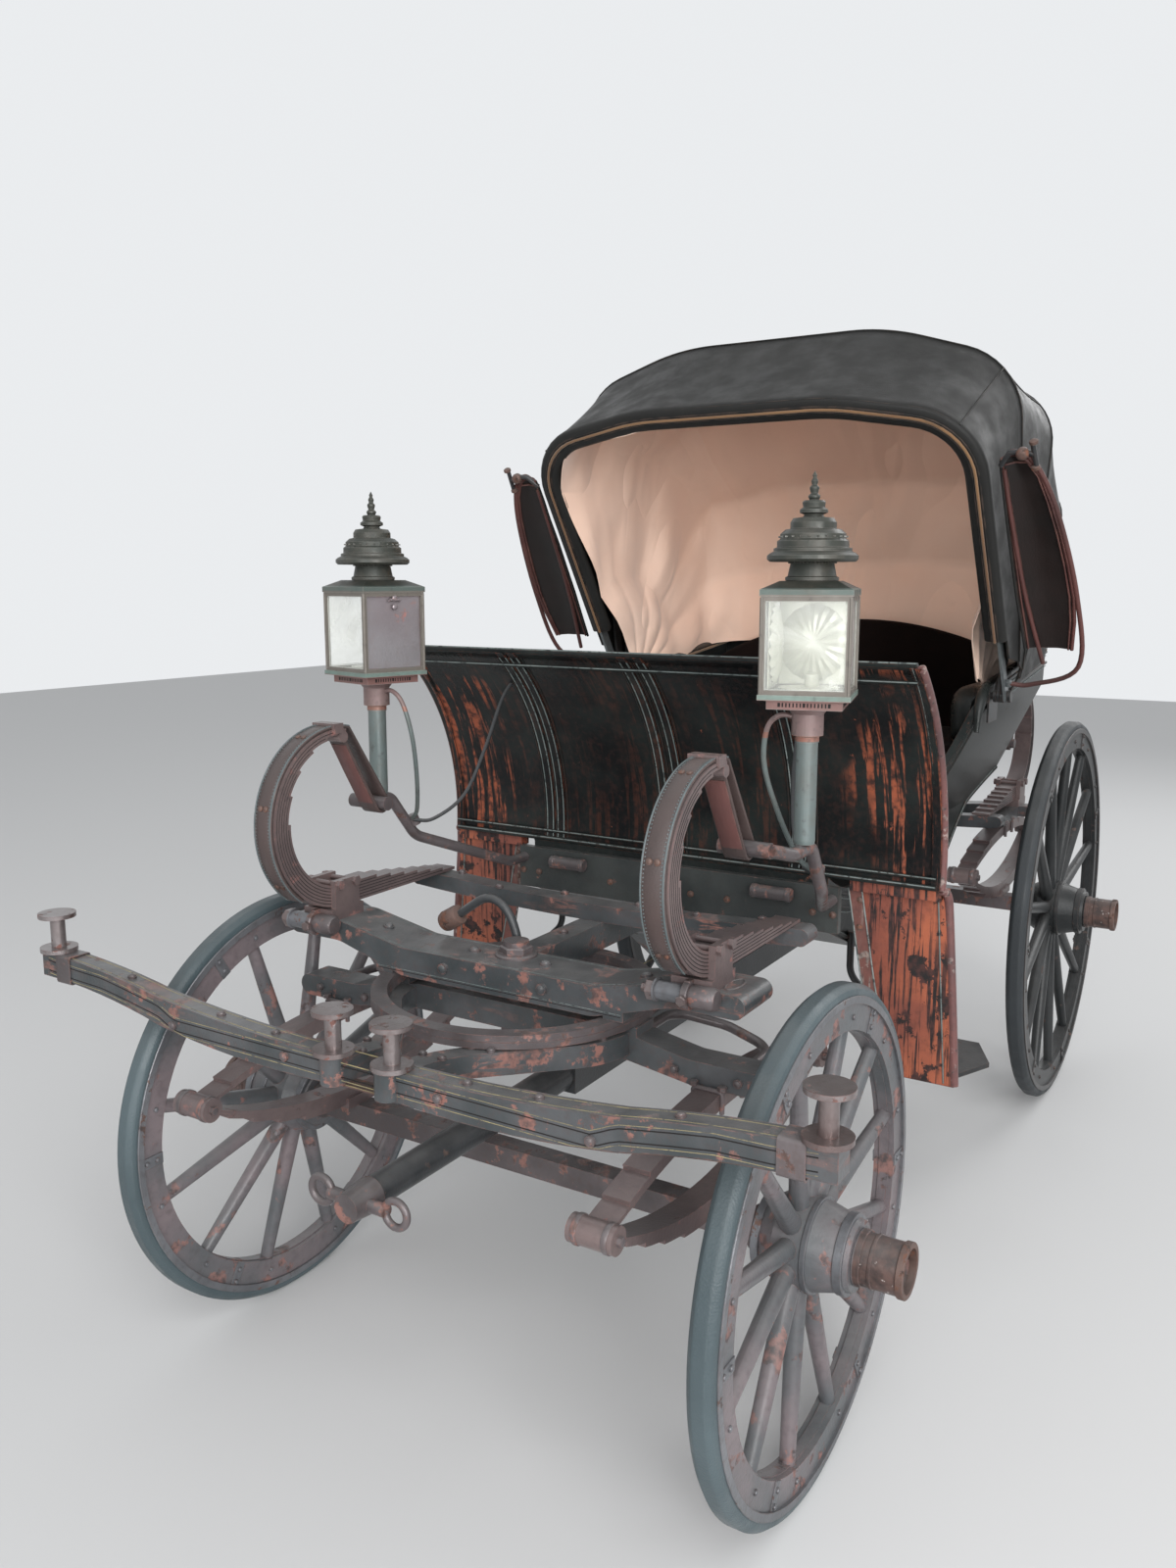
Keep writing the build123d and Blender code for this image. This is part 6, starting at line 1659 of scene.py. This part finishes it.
def boltsOn(label, name, starts, toward, radius, height, finish):
    found = [(place, tuple(normal)) for place, normal in hitAll(name, starts, toward)]
    body = "fore_carriage" if name in foreCarriage else "carriage"
    if found:
        heads(label, found, radius, height, finish, body, corners=20, dome=0.55, both=False)


def lineOn(shape, name, starts, toward, radius, finish, lift=0.0):
    path = [place + normal * lift for place, normal in hitAll(name, starts, toward)]
    if len(path) > 3:
        shape.tube(path, radius, finish, sides=6)


splinter = {
    "middle": ((0, 756), (430, 756), (470, 775), (560, 790), (620, 799), (700, 802), (790, 810)),
    # up from the middle line, radius, finish
    "stripes": ((15, 0.0009, yellowLine), (-15, 0.0009, yellowLine), (9.5, 0.0013, holeShadeAndBlackLine),
                (-9.5, 0.0013, holeShadeAndBlackLine)),
    "x": 2380, "topLines": (2366, 2394), "ferrules": (728, -728), "ferruleX": (2357.5, 2402.5),
}


# Height of the splinter bar's middle line at a place across.
def barMiddle(y):
    at = splinter["middle"]
    y = abs(y)
    for (ya, za), (yb, zb) in zip(at, at[1:]):
        if y <= yb:
            return za + (zb - za) * (y - ya) / (yb - ya)
    return at[-1][1]


# Pinstripes, the iron strip under the bar and a ferrule near each end.
def splinterLines():
    shape = Shape("splinterLines")
    bar = range(-772, 773, 16)
    for lift, radius, finish in splinter["stripes"]:
        lineOn(shape, "splinter_bar", [(3000, y, barMiddle(y) + lift) for y in bar], behind, radius, finish,
               -0.0005)
    for x in splinter["topLines"]:
        lineOn(shape, "splinter_bar", [(x, y, 1000) for y in bar], down, 0.001, yellowLine, -0.0004)
    under = hitAll("splinter_bar", [(splinter["x"], y, 600) for y in range(-740, 741, 20)], up)
    shape.strap([place - Vector((0, 0, 0.0022)) for place, _ in under], 0.03, 0.004, rustIron,
                Vector((1, 0, 0)))
    back, front = splinter["ferruleX"]
    for y in splinter["ferrules"]:
        top = hit("splinter_bar", splinter["x"], y, 1000, down)
        bottom = hit("splinter_bar", splinter["x"], y, 500, up)
        if top and bottom:
            high, low = top[0].z * 1000, bottom[0].z * 1000
            corners = [(back, low - 5), (front, low - 5), (front, high + 1.5), (back, high + 1.5)]
            ring = boxLoop((back, (high + low) / 2, 0), corners, 4, 3)
            shape.strap([fromAxle(p[0], y, p[1]) for p in ring], 0.04, 0.0026, ironPaint, acrossWay)
    shape.made("fore_carriage", "gear_paint")


# Bolt heads: label, node, starts in millimetres, way, radius, height, finish.
def gearBolts():
    barTop = [(splinter["x"], y, 1000) for y in (-560, -330, -200, 200, 330, 560)]
    futchells = [(x, y, 1200) for x in (2050, 2130, 2210, 2290, 2345, 1820, 1740)
                 for y in range(-240, 241, 40)]
    rows = [
        ("barBolts", "splinter_bar", [(3000, y, barMiddle(y)) for y in (-430, -160, 160, 430)], behind,
         0.0085, 0.004, ironPaint),
        ("barTopBolts", "splinter_bar", barTop, down, 0.008, 0.004, ironPaint),
        ("transomBolts", "transom", [(3000, y, 815) for y in (-110, 110)], behind, 0.0105, 0.006, gearPaint),
        ("transomTop", "transom", [(1985, y, 1200) for y in (-290, -80, 80, 290)], down, 0.011, 0.004,
         gearPaint),
        ("transomBack", "transom", [(1500, y, 815) for y in (-360, -200, 200, 360)], ahead, 0.0095, 0.006,
         ironPaint),
        ("bedBolts", "front_bed", [(3000, y, 701) for y in (-470, -350, -200, 200, 350, 470)], behind,
         0.008, 0.005, ironPaint),
        ("futchellBolts", "futchells", futchells, down, 0.0075, 0.0045, ironPaint),
    ]
    for name, x in (("front_tail_bar", 1655), ("rear_tail_bar", -300), ("hind_bed", 0)):
        starts = [(x + dx, y, 1500) for y in (-360, -230, -90, 90, 230, 360)
                  for dx in (-40, -20, 0, 20, 40) if (y // 10 + dx // 20) % 3 == 0]
        rows.append((name + "Bolts", name, starts, down, 0.0085, 0.005, ironPaint))
    rows.append(("perchBolts", "perch", [(x, 0, 1200) for x in range(240, 1801, 195)], down, 0.009, 0.005,
                 ironPaint))
    rows.append(("perchSides", "perch", [(x, 400, 640) for x in range(300, 1750, 240)], (0, -1, 0), 0.007,
                 0.004, ironPaint))
    for row in rows:
        boltsOn(*row)


# The clamp bolt under each front C-spring's foot, from its nut at one end to the cap at the other.
clampBolt = {
    "at": (2063, 864), "sides": (410, -410),
    # along the axis, sides, finish, outline
    "rings": (
        (-0.075, 6, rollerSteel, ((0.001, -0.012), (0.008, -0.010), (0.009, 0), (0.019, 0.002),
                                  (0.019, 0.015), (0.001, 0.015))),
        (-0.060, 28, channelSteel, ((0.001, 0), (0.020, 0), (0.020, 0.004), (0.0165, 0.005),
                                    (0.0165, 0.054), (0.001, 0.054))),
        (-0.007, 36, ironPaint, ((0.001, 0), (0.023, 0.0005), (0.0245, 0.002), (0.0245, 0.011),
                                 (0.023, 0.0125), (0.001, 0.013))),
        (0.006, 28, ironPaint, ((0.001, 0), (0.0185, 0), (0.0195, 0.003), (0.0195, 0.040),
                                (0.016, 0.045), (0.001, 0.046))),
    ),
    "lug": ((-0.020, -0.006, -0.004), (0.006, 0.005, 0.026)), "nut": (0.022, -0.0005, -0.002),
    "nutOutline": ((0.001, 0), (0.010, 0), (0.010, 0.007), (0.008, 0.009), (0.001, 0.009)),
}
perchNut = (
    (32, ((0.0245, -0.004), (0.040, -0.002), (0.040, 0.003), (0.036, 0.006), (0.0245, 0.006))),
    (6, ((0.0245, 0.004), (0.031, 0.006), (0.031, 0.016), (0.028, 0.019), (0.0245, 0.019))),
)
bentPipe = {
    "path": ((1924, -23, 812), (1921, -26, 850), (1920, -44, 896), (1920, -72, 921), (1920, -104, 922),
             (1920, -140, 900), (1920, -168, 880)),
    "radius": 0.0085, "rollerAt": (1920, -162, 884), "rollerAxis": (0, -0.86, -0.5),
    "roller": ((0.006, 0), (0.019, 0.002), (0.021, 0.008), (0.021, 0.040), (0.019, 0.046), (0.006, 0.048)),
}


def clampBolts(shape):
    for y in clampBolt["sides"]:
        at = fromAxle(clampBolt["at"][0], y, clampBolt["at"][1])
        for k, (along, sides, finish, outline) in enumerate(clampBolt["rings"]):
            if k == 3:
                low, high = clampBolt["lug"]
                shape.block(at + Vector(low), at + Vector(high), ironPaint)
            shape.lathe(outline, at + acrossWay * along, finish, axis=(0, 1, 0), sides=sides)
        shape.lathe(clampBolt["nutOutline"], at + Vector(clampBolt["nut"]), rollerSteel, axis=(1, 0, 0),
                    sides=6)


# The perch bolt's top plate and nut, at the middle of the bolt's own mesh.
def perchBoltNut(shape):
    bolt = [nodes["perch_bolt"].matrix_world @ v.co for v in nodes["perch_bolt"].data.vertices]
    x, y = ((min(p[i] for p in bolt) + max(p[i] for p in bolt)) * 500 for i in (0, 1))
    x += middle * 1000
    base = hit("transom", x + 26, y, 1400, down)
    if hit("perch_bolt", x, y, 1400, down) and base:
        for sides, outline in perchNut:
            shape.lathe(outline, base[0] - Vector((0.026, 0, 0)), ironPaint, sides=sides)


transomMarks = {"half": 470, "front": ((792, holeShadeAndBlackLine), (796, lightLine)), "top": (1937, 2034),
                "rings": (457, -457), "ringX": 1987, "ring": (30, 12)}
perchLines = {"sides": (27, -27), "z": 668.4, "run": range(260, 1800, 110)}


# Lines and oval rings on the transom, its fittings, the pipe behind it and two lines along the perch.
def transomLines():
    shape = Shape("transomLines")
    across = range(-transomMarks["half"], transomMarks["half"] + 1, 10)
    for z, finish in transomMarks["front"]:
        lineOn(shape, "transom", [(3000, y, z) for y in across], behind, 0.0009, finish, -0.0004)
    for x in transomMarks["top"]:
        lineOn(shape, "transom", [(x, y, 1200) for y in across], down, 0.0009, lightLine, -0.0004)
    long, wide = transomMarks["ring"]
    for y in transomMarks["rings"]:
        ring = [(transomMarks["ringX"] + long * a, y + wide * b, 1200)
                for a, b in circle(1, 32) + [(1.0, 0.0)]]
        lineOn(shape, "transom", ring, down, 0.0026, gearPaint, -0.0006)
    clampBolts(shape)
    for y in perchLines["sides"]:
        shape.tube([fromAxle(x, y, perchLines["z"]) for x in perchLines["run"]], 0.0009, yellowLine, sides=6)
    perchBoltNut(shape)
    shape.tube(smoothPath([fromAxle(*p) for p in bentPipe["path"]], 7), bentPipe["radius"], polePaint,
               sides=14)
    shape.lathe(bentPipe["roller"], fromAxle(*bentPipe["rollerAt"]), rustIron, axis=bentPipe["rollerAxis"],
                sides=24)
    shape.made("carriage", "gear_paint")


clips = {
    "front": (1963, 596, "fore_carriage"), "rear": (0, 716.5, "carriage"), "y": 418, "apart": 40,
    "half": 27, "leg": 34, "rod": 0.0045, "eye": 405, "eyeOut": 26,
    "collar": ((0.001, -0.005), (0.0228, -0.005), (0.0238, -0.003), (0.0238, 0.003), (0.0228, 0.005),
               (0.001, 0.005)),
}


# Clips with two nuts over each under-spring's middle, and the eyes' collars and bolt heads.
def clipsOn(end):
    x, z, body = clips[end]
    tree = surfaceOf(end + "_under_springs")
    half, leg = clips["half"], clips["leg"]
    shape, nuts = Shape(end + "SpringClips"), []
    for y in (clips["y"], -clips["y"]):
        for dx in (-clips["apart"], clips["apart"]):
            top = tree.ray_cast(fromAxle(x + dx, y, z + 500), Vector(down))[0]
            if top is None:
                continue
            h = top.z * 1000
            path = roundedCorners([(y - half, h - leg, 0), (y - half, h + 3.5, 0), (y + half, h + 3.5, 0),
                                   (y + half, h - leg, 0)], [6, 6], 4)
            shape.tube([fromAxle(x + dx, p[0], p[1]) for p in path], clips["rod"], ironPaint, sides=10)
            nuts += [(fromAxle(x + dx, y + s, h + 7), (0, 0, 1)) for s in (-half, half)]
        for way in (-1, 1):
            for out in (-1, 1):
                at = x + way * clips["eye"]
                eye = tree.ray_cast(fromAxle(at, y + out * 120, z), Vector((0, -out, 0)))[0]
                shape.lathe(clips["collar"], fromAxle(at, y + out * clips["eyeOut"], z), ironPaint,
                            axis=(0, 1, 0), sides=32)
                if eye:
                    nuts.append((eye, (0, out, 0)))
    shape.made(body, "worn_iron")
    heads(end + "SpringNuts", nuts, 0.0085, 0.007, ironPaint, body, corners=6, dome=0.15, both=False)


splinterLines()
gearBolts()
transomLines()
for end in ("front", "rear"):
    clipsOn(end)
print("gear ready")


# The hood leather's and lining's cut sizes and areas, worked out and not kept.
def declareSheets():
    piece, arc, run, area = leatherSheet
    min(area, arc * run)
    lining, wide, long, cut = liningSheet
    min(cut, wide * long)


declareSheets()
